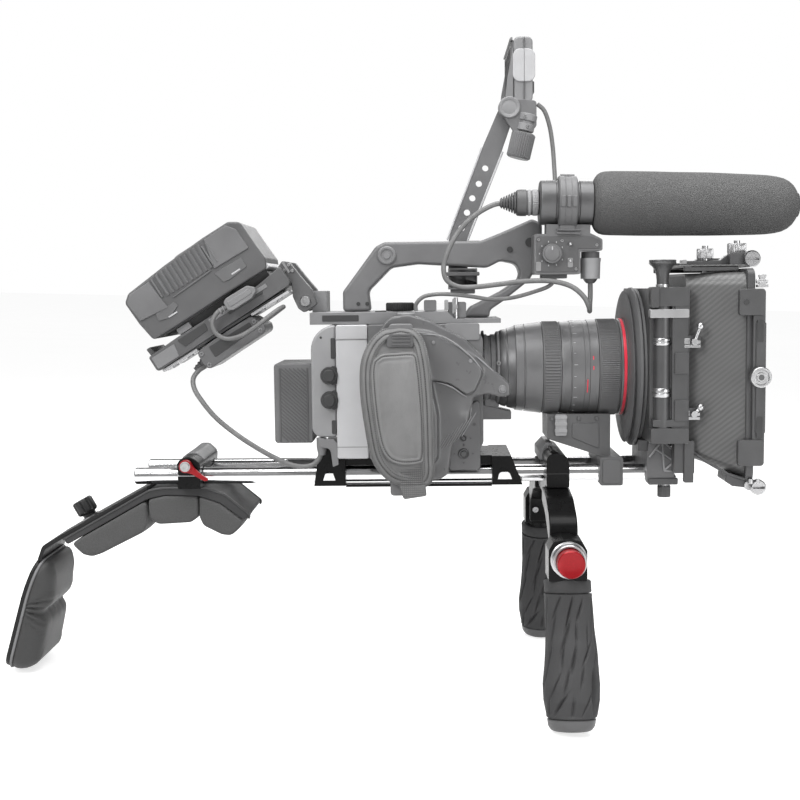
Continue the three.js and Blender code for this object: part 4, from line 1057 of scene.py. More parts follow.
def add_hand_grip():
    foot = [[-48, 22, 12], [-50, 110, 16], [-44, 124, 12], [12, 124, 12], [34, 78, 10], [35, 66, 6],
        [30, 48, 12], [16, 31, 10], [13, 8, 4], [6, 3, 6], [-30, 3, 14]]
    dome = [[-47, 100, 10], [-45, 130, 10], [-37, 141, 12], [-20, 143.5, 14], [-2, 138, 14], [28, 122, 18],
            [46, 103, 10], [48, 84, 8], [34, 76, 8], [20, 84, 10]]
    face = [[-44, 90, 10], [-42, 122, 10], [-26, 132, 12], [0, 128, 12], [24, 115, 14], [43, 96, 6],
        [36, 79, 6], [29, 75, 4], [14, 85, 8], [0, 88, 10]]
    horn = [[24, 114, 4], [38, 107, 8], [50, 97, 8], [60, 89, 5], [66, 83, 3], [65.6, 73.6, 3],
        [58, 72.5, 4], [46, 76, 8], [36, 73, 5], [28, 76, 5]]
    form = Form().slab('y', foot, -89.5, -57.4)
    form.slab('y', dome, -85, -57.4).slab('y', face, -95, -70).slab('y', horn, -88, -62)
    form.slab('y', [[-40, 24, 12], [-42, 110, 12], [-8, 118, 12], [4, 60, 12], [4, 18, 8], [-24, 14, 12]],
        -97, -80)

    def scoop(p):
        """The finger hold pressed in below the horn."""
        press = 3.0 * exp(-((p.x - 33) / 9) ** 2 - ((p.z - 62) / 9) ** 2)
        return Vector((p.x - press * 0.5, p.y + (press if p.y < -66 else 0), p.z))

    sculpted("grip_housing", form, GRIP_CASE, "side_grip", 1.25, 14, scoop, replaces="hand_grip")
    panel = Form().slab('y', [[14, 7.4, 2], [15, 30, 6], [24, 44, 8], [31, 50, 4], [32.5, 64, 2],
        [41, 70, 3], [41, 7.4, 3]], -60.5, -57.3)
    piece("grip_side_panel", panel, DARK, "side_grip", edge=0.8)
    pads = Form()
    for x, z, r in ((26.5, 35, 2.6), (26.5, 21.5, 4.6)):
        pads.turned('y', [[-62.6, 0], [-62.4, 0.5 * r], [-61.6, 0.62 * r], [-62.2, 0.9 * r], [-61.6, r],
            [-60, 1.04 * r], [-60, 0]], x, z, 48)
        for a in range(4):
            turn = a * pi / 2
            px, pz = x + (r + 3.4) * cos(turn), z + (r + 3.4) * sin(turn)
            tip = [[px + 1.3 * cos(turn), pz + 1.3 * sin(turn)],
                   [px + 1.1 * cos(turn + 2.2), pz + 1.1 * sin(turn + 2.2)],
                   [px + 1.1 * cos(turn - 2.2), pz + 1.1 * sin(turn - 2.2)]]
            pads.slab('y', tip, -60.9, -60)
    pads.turned('y', [[-61, 0], [-61, 1.2], [-60, 1.4], [-60, 0]], 36, 47, 24)
    piece("direction_pads", pads, DEEP, "side_grip", edge=0)
    # The light grey tubes below run along the grip's ridges and the horn's edge: painted highlights on the
    # dark case.
    seams = Form()
    for thin, swell, route in ((0.25, 0.55, [[-8, -95.0, 127], [7, -95.3, 125.4], [17, -95.0, 120.4],
            [27, -94.6, 112.4], [34, -94.2, 106], [40, -93.4, 98.6], [43.4, -91.6, 93.6]]),
            (0.2, 0.5, [[3, -94.0, 86.4], [10, -94.2, 84.6], [17, -94.0, 81.6], [24, -93.2, 76.6],
            [29, -91.6, 73.4]]), (0.3, 0.5, [[31.6, -85.2, 70.2], [32.4, -84.4, 64], [31.4, -84, 54]]),
            (0.2, 0.7, [[36, -88.2, 108.6], [44, -87.8, 101.4], [52, -87.0, 94.2]])):
        line = smooth_line(route)
        last = len(line) - 1
        seams.tube(line, [thin + swell * sin(pi * k / last) for k in range(last + 1)], 10)
    piece("grip_ridge_painted_highlights", seams, MIDGREY, "side_grip", edge=0)
    details = Form()
    details.turned('y', [[-96.2, 0], [-96.2, 1.2], [-95.6, 1.5], [-93, 1.5], [-93, 0]], 1, 120, 28)
    details.turned('y', [[-95.4, 0], [-95.4, 1.4], [-94.8, 1.8], [-91, 1.8], [-91, 0]], 32, 104, 28)
    details.turned('y', [[-89.4, 0], [-89.4, 1.8], [-88.8, 2.2], [-88.8, 2.7], [-89.2, 3.1], [-88.6, 3.6],
        [-86, 3.6], [-86, 0]], 59, 79.5, 40)
    details.turned('z', [[139, 0], [139, 8], [143.8, 8], [144.6, 7.2], [144.6, 0]], -22, -74, 48)
    piece("grip_buttons", details, MID, "side_grip", edge=0.1)
    lines = Form()
    for k in range(9):
        x0 = -3 + k * 3.4
        lines.tube([(x0, -89.9, 22 + k * 2.2), (x0 + 9 + k * 0.4, -89.7, 36 + k * 3.0)], 0.28, 6)
    piece("grip_fine_lines", lines, MIDGREY, "side_grip", edge=0)


def closed_line(points, count=240):
    """A smooth closed outline through the points, cut into equal lengths."""
    wrapped = [points[-2], points[-1]] + points + [points[0], points[1]]
    line = smooth_line(wrapped, 12)
    return resampled([Vector(p) for p in line[24:-25]], count)


def add_strap():
    """The padded hand strap: a long oval arched over the back of the hand."""
    oval = closed_line([[-27, 134], [-15, 131], [-8, 123], [-4, 108], [-1.6, 86], [-0.4, 60], [0, 30],
        [-0.4, 10], [-5, 2.4], [-20, 1.6], [-35, 6], [-44, 14.5], [-50.5, 26], [-55.5, 52], [-59, 84],
        [-57.6, 107], [-50, 123], [-39, 132]])
    arch_points = [(-12, -109), (5, -117.5), (20, -121.4), (45, -123.2), (66, -123.6), (90, -122.8),
        (106, -121), (124, -115.5), (138, -108)]

    def arch(z):
        for (z1, y1), (z2, y2) in zip(arch_points, arch_points[1:]):
            if z <= z2 or z2 == 138:
                t = max(0.0, min(1.0, (z - z1) / (z2 - z1)))
                return y1 + (y2 - y1) * (0.6 * t + 0.4 * t * t * (3 - 2 * t))
        return -108.0

    def layer(points, out):
        return [(p.x, arch(p.y) - out + 0.0022 * (p.x + 29) ** 2, p.y) for p in points]

    middle = centroid(oval)
    rings = [layer(shrunk(oval, middle, t), -5.0) for t in (0.12, 0.4, 0.7, 0.9)]
    for inset, out in ((1.2, -4.6), (0.2, -3.2), (0, -1), (0.5, 0.8), (1.6, 1.9), (2.8, 2.2), (3.7, 1.8),
            (4.2, 1.1), (4.7, 1.8), (5.6, 2.3), (7.2, 2.3), (8.6, 1.6), (9.6, 0.4), (10.2, -0.3)):
        rings.append(layer(inset_ring(oval, inset), out))
    inner = inset_ring(oval, 10.2)
    for k in range(1, 9):
        rings.append(layer(shrunk(inner, middle, 1 - k / 8.4), -0.3))
    pad = piece("strap_pad", Form().loft(rings), LEATHER, "side_grip", edge=0, replaces="hand_strap",
                angle=70)
    panel = closed_line([[-43, 111.6], [-30, 113], [-15, 113], [-12, 110], [-10.4, 102], [-8.6, 84],
        [-7, 60], [-6.6, 40], [-7, 27], [-9, 22.4], [-16, 20.6], [-28, 20.8], [-36.4, 24.4], [-42.4, 33],
        [-46.2, 48], [-49, 70], [-50.4, 88], [-50.4, 100], [-48, 108]], 200)
    centre = centroid(panel)
    rings = []
    for inset, out in ((0, -1.6), (-0.2, 0.4), (0.3, 1.5), (1.2, 2.0), (2.0, 1.6), (2.5, 0.9), (3.0, 1.6),
            (4.0, 2.1), (5.0, 1.7), (5.6, 1.3), (7, 1.9), (9, 2.3)):
        rings.append(layer(inset_ring(panel, inset), out))
    last = inset_ring(panel, 9)
    for k in range(1, 9):
        t = 1 - k / 8.4
        rings.append(layer(shrunk(last, centre, t), 2.3 + 0.9 * (1 - t * t)))
    field = piece("strap_panel", Form().loft(rings), PANEL_LEATHER, "side_grip", edge=0,
        angle=70)
    binding = Form().tube(layer(inset_ring(oval, 0.3), -0.4), 1.25, 12, closed=True)
    binding.tube(layer(inset_ring(panel, 0.1), 0.6), 0.8, 10, closed=True)
    piece("strap_binding", binding, WEBBING, "side_grip", edge=0)
    stitches = Form()
    for outline, inset, out, count in ((oval, 4.2, 1.5, 150), (oval, 7.6, 2.45, 150),
            (panel, 2.5, 1.25, 120)):
        line = layer(resampled(inset_ring(outline, inset), count * 2), out)
        for i in range(0, count * 2, 2):
            stitches.tube([line[i], line[i + 1]], 0.36, 6)
    piece("strap_stitches", stitches, DARK_THREAD, "side_grip", edge=0)
    webbing = Form().slab('y', [[-28, 19, 2], [-9, 19, 2], [-8, 6, 2], [-6, -5.5, 2], [-25, -8.4, 2],
        [-28, 1, 2]], -119.6, -116.8, arc=5)
    for k in range(9):
        z = 4.4 + 1.7 * k
        webbing.block('y', (-27.4, -9.4, z - 0.5, z + 0.5, 0.4), -120.3, -118)
    piece("strap_tail", webbing, WEBBING, "side_grip", edge=0.3)
    fold = Form().slab('y', [[-27.6, 2, 1], [-6.6, 3, 1], [-5.6, -5.8, 2], [-24.6, -8.6, 2]],
        -121.2, -118.8, arc=5)
    piece("strap_fold", fold, WEBBING, "side_grip", edge=0.6)
    buckle = Form().slab('y', [[-38, 117.5, 2], [-15.5, 117.5, 2], [-15.5, 128.5, 3], [-36, 128.5, 4]],
        -119.4, -114.6)
    for z in (119.6, 122.4, 125.2, 127.4):
        buckle.block('y', (-33, -18, z - 0.75, z + 0.75, 0.6), -120.4, -116)
    piece("strap_buckle", buckle, DEEP, "side_grip", edge=0.4)
    anchors = Form()
    for z in (132, 0):
        anchors.block('y', (-36, -16, z - 7, z + 4, 3), -112, -90)
    piece("strap_anchors", anchors, DARK, "side_grip", edge=1.0)


# ---------- top handle, audio box and microphone ----------
def add_top_handle():
    handle = Form().slab('y', [
        [-80, 145.3], [-80, 163, 5], [-50, 203, 8], [-42, 207, 10], [44, 207, 14], [62, 214, 12],
        [90, 226, 5], [99, 222, 5], [99, 190, 10], [87, 171, 10], [64, 153, 10], [52, 145, 8], [52, 138.8],
        [28, 138.8], [34, 148, 8], [62, 162, 8], [80, 174, 8], [76, 186, 8], [62, 189, 8], [50, 183, 10],
        [-12, 187, 20], [-36, 184, 10], [-57, 163, 8], [-55, 145.3]], -14, 14, arc=8)
    piece("carry_handle", handle, DARK, "base", edge=3.6, replaces="top_handle",
        segments=4)
    hub = Form().turned('y', [[-16.6, 0], [-16.6, 3.0], [-15.4, 3.4], [-15.4, 5.2], [-16.4, 5.6],
        [-16.4, 7.4], [-15.6, 8.2], [-13, 8.4], [-13, 0]], -40, 195, 64)
    for k in range(24):
        a = TAU * k / 24
        hub.ball(-40 + 6.5 * cos(a), -16.3, 195 + 6.5 * sin(a), 0.45)
    piece("handle_rosette", hub, MID, "base", edge=0)
    details = Form()
    for x in (-66, -58):
        details.bar('y', 1.8, -14.6, -13.4, x, 152, 24)
    for x in (-20, 2, 24):
        details.bar('z', 2.3, 206.6, 207.15, x, 0, 24)
    details.block('z', (34, 52, -5, 5, 2), 206, 207.5)
    details.bar('y', 4.2, -14.8, -13, 88, 205, 32).bar('y', 2.6, -15.4, -13, 70, 199, 32)
    piece("handle_inserts", details, RECESS, "base", edge=0.15)


def add_audio():
    refined("audio_box", DARK, "base", 1.1)
    dial = Form().knurled('y', 8.8, -56, -51.4, 104, 194, 30, 0.5)
    dial.turned('y', [[-57.4, 0], [-57.4, 5.4], [-56.8, 6.4], [-55.6, 6.8], [-55.6, 0]], 104, 194, 48)
    piece("audio_dial_knob", dial, DARK, "audio_dial_body", edge=0, replaces="audio_dial")
    mark = Form().box(103.5, 104.5, -57.7, -57.2, 197, 200)
    piece("audio_dial_mark", mark, PALE, "audio_dial_body", edge=0)
    panel = Form().slab('y', [[91, 178, 2], [127, 178, 2], [127, 198], [146, 198, 1], [146, 205, 1],
        [137, 209, 1], [91, 209, 2]], -50.8, -49)
    panel.block('y', (96, 118, 172.5, 176.5, 1), -44, -22)
    piece("audio_panel", panel, DEEP, "base", edge=0.4)
    switches = Form()
    for x, z in ((120, 186), (92.5, 183)):
        switches.block('y', (x - 2.2, x + 2.2, z - 4, z + 4, 1), -51.5, -50)
    switches.ball(120, -53, 187.5, 1.6).tube([(120, -50, 186), (120, -53, 187.5)], 0.8, 12)
    switches.ball(120, -53, 202, 1.6).tube([(120, -50, 202), (120, -53, 202)], 1.1, 12)
    for x, z in ((113, 205), (92.8, 206), (125, 180.5), (143, 201)):
        switches.socket_screw('y', 1.3, -51.3, -50.2, x, z, -1)
    piece("audio_switches", switches, BRIGHT, "base", edge=0.1)
    ticks = Form()
    for k in range(9):
        a = radians(-60 + k * 37.5 + 90)
        x, z = 104 + 10.6 * cos(a), 194 + 10.6 * sin(a)
        ticks.box(x - 0.35, x + 0.35, -51.1, -50.4, z - 0.7, z + 0.7)
    piece("audio_ticks", ticks, PALE, "base", edge=0)
    sockets = Form().turned('y', [[-14.5, 0], [-14.5, 9], [-12.6, 9], [-12.6, 0]], 108, 193, 48)
    place = at(118, -40, 238, 1.3)
    piece("audio_sockets", sockets, DEEP, "base", edge=0.3)

    clip = Form().turned('x', [[-7.8, 19.9], [-7.8, 22.6], [-6.8, 23.3], [-3, 23.3], [-2.4, 22.8],
        [2.4, 22.8], [3, 23.3], [6.8, 23.3], [7.8, 22.6], [7.8, 19.9]], place=place)
    clip.block('x', (-12, 12, -26, -19, 2), -6.4, 6.4, place)
    for v in (-27.5, -24.5):
        clip.block('x', (-13.4, 13.4, v, v + 1.6, 0.6), -9, 11, place)
    clip.block('x', (-3.5, 3.5, 19, 24.6, 1.5), -6, 6, place)
    for u0, u1 in ((-6.6, -3.2), (-1.6, 1.6), (3.2, 6.6)):
        clip.block('x', (19.8, 24.2, -5, 5, 1), u0, u1, place)
        clip.block('x', (-24.2, -19.8, -5, 5, 1), u0, u1, place)
    piece("mic_clip", clip, DARK, "base", edge=0.4)
    body = Form().turned('x', [[-24, 0], [-24, 17.6], [-23, 19], [-21.5, 19.4], [-10.5, 19.4], [-9.8, 18.7],
        [-9, 18.7], [-8.3, 19.4], [8.5, 19.4], [9.2, 18.6], [10, 18.6], [10.6, 19.4], [21.4, 19.4],
        [22, 18.8], [22, 10], [170, 10], [170, 0]])
    piece("mic_body", body, MIC_METAL, "base", place, 0, "microphone")

    rnd = random.Random(3)
    bumps = [(rnd.uniform(0, 6.28), rnd.uniform(25, 195), rnd.uniform(6, 16),
        rnd.uniform(-0.35, 0.35)) for _ in range(60)]

    def lump(i, along, radius):
        a = TAU * i / 96
        out = 0.0
        for a0, x0, size, high in bumps:
            d = ((a - a0 + pi) % TAU - pi) * radius
            out += high * exp(-(d * d + (along - x0) ** 2) / size ** 2)
        return max(10.3, radius + (out if radius > 11 else 0.0))

    shape = [[22.4, 10.4], [22.6, 18], [23.2, 20.4], [24.4, 22.6], [26, 24.6], [28.5, 26.2], [32, 27.1],
        [38, 27.5], [50, 27.7], [62, 27.8], [76, 27.75], [90, 27.6], [105, 27.4], [120, 27.2], [135, 26.8],
        [150, 26.4], [162, 25.9], [172, 25.2], [180, 24.2], [186, 22.8], [190.5, 20.6], [194, 17.6],
        [196.6, 14], [198.4, 9.6], [199.4, 5], [199.8, 0]]
    foam = Form().turned('x', shape, wobble=lump)
    piece("windscreen_sleeve", foam, FOAM, "windscreen", place, 0, "mic_windscreen", 60)


# ---------- monitor ----------
def add_monitor():
    base = Form().block('y', (15, 41, 165, 182.7, 2), -11, 11)
    base.turned('y', [[9.5, 0], [9.5, 8.4], [20.4, 8.4], [20.4, 7.4], [21, 6.4], [21, 0]], 28, 172, 48)
    base.block('y', (17, 39, 160, 165.4, 1), -9, 9).block('y', (13, 43, 176, 179.5, 1), -12.6, -10)
    piece("monitor_base", base, DEEP, "base", edge=0.6)
    refined("monitor_arm", DARK, "base", 0.9)
    rails = Form()
    for ends in (((14.4, 17.2, 209), (46.8, 17.2, 292.4)), ((33.2, 17.2, 208), (65.8, 17.2, 288.4))):
        rails.tube(ends, 0.9, 10)
    piece("monitor_arm_edges", rails, PALE, "base", edge=0)

    body = Form().block('y', (75.4, 92.8, 331.6, 390, 5), 9, 112)
    piece("monitor_case", body, MIDGREY, "monitor_body", edge=2.0, replaces="monitor",
        segments=3)
    cap = Form().slab('y', rectangle(74.6, 94.8, 349.6, 379, 6.6), 7.4, 10, arc=8)
    piece("monitor_end_cap", cap, PALE, "monitor_body", edge=0.9)
    seam = Form().box(84.75, 85.15, 7.2, 9.4, 334, 389)
    seam.block('y', (92.4, 95.2, 366, 377, 1.4), 20, 60).block('y', (92.4, 95, 341, 352, 1.4), 22, 70)
    piece("monitor_seams", seam, DEEP, "monitor_body", edge=0.15)
    flaps = Form()
    for y0, y1 in ((7.8, 9.6), (111.4, 113.2)):
        flaps.slab('y', [[75, 386, 2], [73.4, 372, 8], [69.6, 352, 8], [67.6, 333, 2], [75, 333]], y0, y1)
    flaps.slab('y', [[74.6, 389.4], [73.2, 389.4, 1], [71, 386.6, 1], [74.6, 386.6]], 9, 112)
    piece("monitor_side_flaps", flaps, MID, "monitor_body", edge=0.5)
    bezel = Form().loft([[(x, y, z) for y, z in rounded(rectangle(*sides))] for x, sides in (
        (75.6, (11, 110, 333, 388, 4)), (73.0, (11.6, 109.4, 333.6, 387.4, 4)),
        (73.0, (15.5, 105.5, 338, 383.5, 2)), (74.0, (16, 105, 338.5, 383, 2)))])
    piece("monitor_bezel", bezel, DEEP, "monitor_body", edge=0)
    glass_pane = Form().block('x', (16, 105, 338.5, 383, 2), 73.6, 74.3)
    piece("monitor_glass", glass_pane, SCREEN, "monitor_body", edge=0.1)

    hub = Form().turned('y', [[6.4, 0], [6.6, 3.4], [7.4, 6.2], [6.6, 7.4], [6.4, 8.9], [7, 9.6], [9, 9.9],
        [17, 9.9], [17, 0]], 71.5, 327, 64)
    piece("monitor_hub", hub, MIDGREY, "monitor_body", edge=0)
    frame_form = Form().slab('y', [[64, 324, 2], [70, 312, 2], [79, 306, 2], [96, 309, 3], [96, 333, 3],
        [78, 334, 3], [68, 333, 2]], 8.5, 16.4)
    frame_form.slab('y', [[66, 319], [76, 303.5, 1.5], [79, 303.5, 1.5], [80, 318]], 8.2, 10.6)
    piece("monitor_hinge", frame_form, DARK, "monitor_body", edge=0.8)
    place = at(85, 12.5, 305, 14)
    collars = Form().turned('z', [[1, 0], [1, 7.6], [1.6, 8.2], [7, 8.2], [7.6, 7.6], [7.6, 6.4], [10, 6.4],
        [10, 7.6], [10.6, 8.4], [16, 8.4], [16.6, 7.6], [16.6, 0]], place=place)
    piece("monitor_collars", collars, MIDGREY, "monitor_body", edge=0)
    dots = Form().socket_screw('y', 1.7, -8.9, -7.2, 2, 4.4, -1, place).socket_screw('y', 1.7, -8.9, -7.2,
        -3.2, 13, -1, place)
    piece("monitor_collar_screws", dots, BRIGHT, "monitor_body", edge=0)
    knob = Form().knurled('z', 10.9, -23.6, -0.6, 0, 0, 34, 0.9)
    knob.turned('z', [[-24, 0], [-24, 9], [-23.4, 9.4], [-23.4, 0]], sides=64)
    piece("monitor_knob_knurled", knob, DARK, "monitor_knob_body", place, 0, "monitor_knob")


# ---------- lens ----------
def add_lens():
    z = OPTICAL_AXIS
    adapter = Form().turned('x', [[44.2, 0], [44.2, 28], [45, 30.5], [49, 30.5], [49.6, 29.4], [52, 29.4],
        [52.6, 30.5], [56.6, 30.5], [57.2, 32], [58, 33.1], [60, 33.2], [60, 0]], 0, z, 128)
    piece("adapter_ring", adapter, MID, "base", edge=0, replaces="lens_adapter")
    foot = Form().box(46.5, 59.7, -8.6, 8.6, 50, 66).slab('y', [[45, 46, 1], [71, 46, 1], [71, 53.5, 1],
        [45, 60, 1]], -9, 9)
    foot.block('y', (47, 60, 58, 66, 1), -9.5, 9.5)
    piece("adapter_foot", foot, LENS, "base", edge=0.8)
    mounts = Form().turned('x', [[44.4, 0], [44.4, 33.6], [46.4, 34], [46.4, 0]], 0, z, 96)
    mounts.socket_screw('y', 2, -34.2, -31, 58.6, z + 6, -1)
    piece("adapter_flange", mounts, BRIGHT, "base", edge=0)
    barrel = Form().turned('x', [[60.3, 0], [60.3, 33.2], [62, 34.4], [65.6, 35.2], [66, 34.6],
        [66.8, 34.6], [67.2, 35.8], [73.2, 37.4], [74, 37.9], [74.4, 38.6], [80, 39.2], [81, 39.3],
        [81.4, 38.8], [82.2, 38.8], [82.6, 39.6], [92, 40.7], [97.4, 41.5], [97.7, 41.2], [97.7, 35.9],
        [114.3, 35.9], [114.3, 41.3], [115, 41.6], [122, 41.9], [122.4, 41.4], [123, 41.4], [123.4, 42.0],
        [134, 42.5], [134.5, 42.1], [138.4, 42.3], [139, 42.9], [146.4, 43.2], [146.7, 42.9], [146.7, 37.9],
        [166.3, 37.9], [166.3, 43.2], [166.8, 43.6], [167.8, 43.6], [168.1, 43.1], [170.9, 43.1],
        [171.2, 43.6], [172.9, 43.6], [173.2, 43.2], [173.2, 38.6], [170, 38], [168, 37.4], [166, 36.6],
        [164, 35], [161, 33.8], [158, 32], [158, 0]], 0, z, 160)
    piece("lens_shell", barrel, LENS, "base", edge=0, replaces="lens_barrel", angle=24)
    piece("lens_red_ring", Form().turned('x', [[168.2, 42.9], [168.3, 43.75], [170.7, 43.75],
        [170.8, 42.9]], 0, z, 160), RED_LINE, "base", edge=0)
    element = Form().turned('x', [[158.1, 0], [158.1, 31], [159.4, 31], [160.4, 27], [161.4, 22],
        [162.2, 16], [162.7, 9], [162.9, 3], [162.9, 0]], 0, z, 96)
    piece("lens_front_element", element, LENS_GLASS, "base", edge=0, angle=60)
    marks = Form()
    for k in range(26):
        a = radians(90 + 14 * k)
        long = 1.6 if k % 3 == 0 else 0.9
        turn = Matrix.Translation((0, 0, z)) @ Matrix.Rotation(a, 4, 'X')
        marks.box(124.6, 124.6 + 2 * long, 41.8, 42.35, -0.22, 0.22, turn)
    piece("lens_scale_marks", marks, PALE, "base", edge=0)
    lines = Form()
    for x, a0 in ((136, 200), (141, 172)):
        turn = Matrix.Translation((0, 0, z)) @ Matrix.Rotation(radians(a0), 4, 'X')
        lines.box(x, x + 0.8, 42.0, 42.9, -6, 6, turn)
    piece("lens_index_lines", lines, RED_LINE, "base", edge=0)
    for name, body, x0, x1, outer, inner, count, depth in (
            ("zoom_ring", "zoom_ring_body", 98.1, 113.9, 41.8, 36.3, 96, 0.7),
            ("focus_ring", "focus_ring_body", 147.1, 165.9, 43.6, 38.3, 144, 0.5)):
        ring = Form().turned('x', [[x0, inner], [x0, outer - 0.9], [x0 + 1.2, outer - 0.7],
            [x0 + 1.4, outer], [x1 - 1.4, outer], [x1 - 1.2, outer - 0.7], [x1, outer - 0.9], [x1, inner]],
            0, z, count * 4, wobble=lambda i, along, r, o=outer, d=depth: r - d * (0.0, 1.0, 1.0,
            0.35)[i % 4] if r == o else r)
        piece(name + "_ribbed", ring, LENS_RUBBER, body, edge=0, replaces=name, angle=30)

    refined("lens_support", DEEP, "lens_support_body", 0.9)
    hardware = Form()
    hardware.socket_screw('y', 2.6, -44.8, -43, 157, 3, -1).socket_screw('y', 1.6, -44.8, -43, 162, -4, -1)
    hardware.block('y', (109, 119, 33, 52, 1), -29.6, -26.4)
    for k in range(3):
        hardware.block('y', (108.6, 119.4, 36 + 6 * k, 39 + 6 * k, 0.8), -30.4, -27)
    piece("lens_support_hardware", hardware, GREY, "lens_support_body", edge=0.3)
    plates = Form().block('y', (149, 165, -8, 13, 2), -45, -43.6)
    plates.slab('y', [[124, 31, 1], [148, 21, 1], [148, 44, 2], [124, 44, 2]], -28, -26)
    for x in (106, 130, 146):
        plates.bar('y', 1.7, -28.6, -26.6, x, 48, 24)
    piece("lens_support_plates", plates, DEEP, "lens_support_body", edge=0.5)


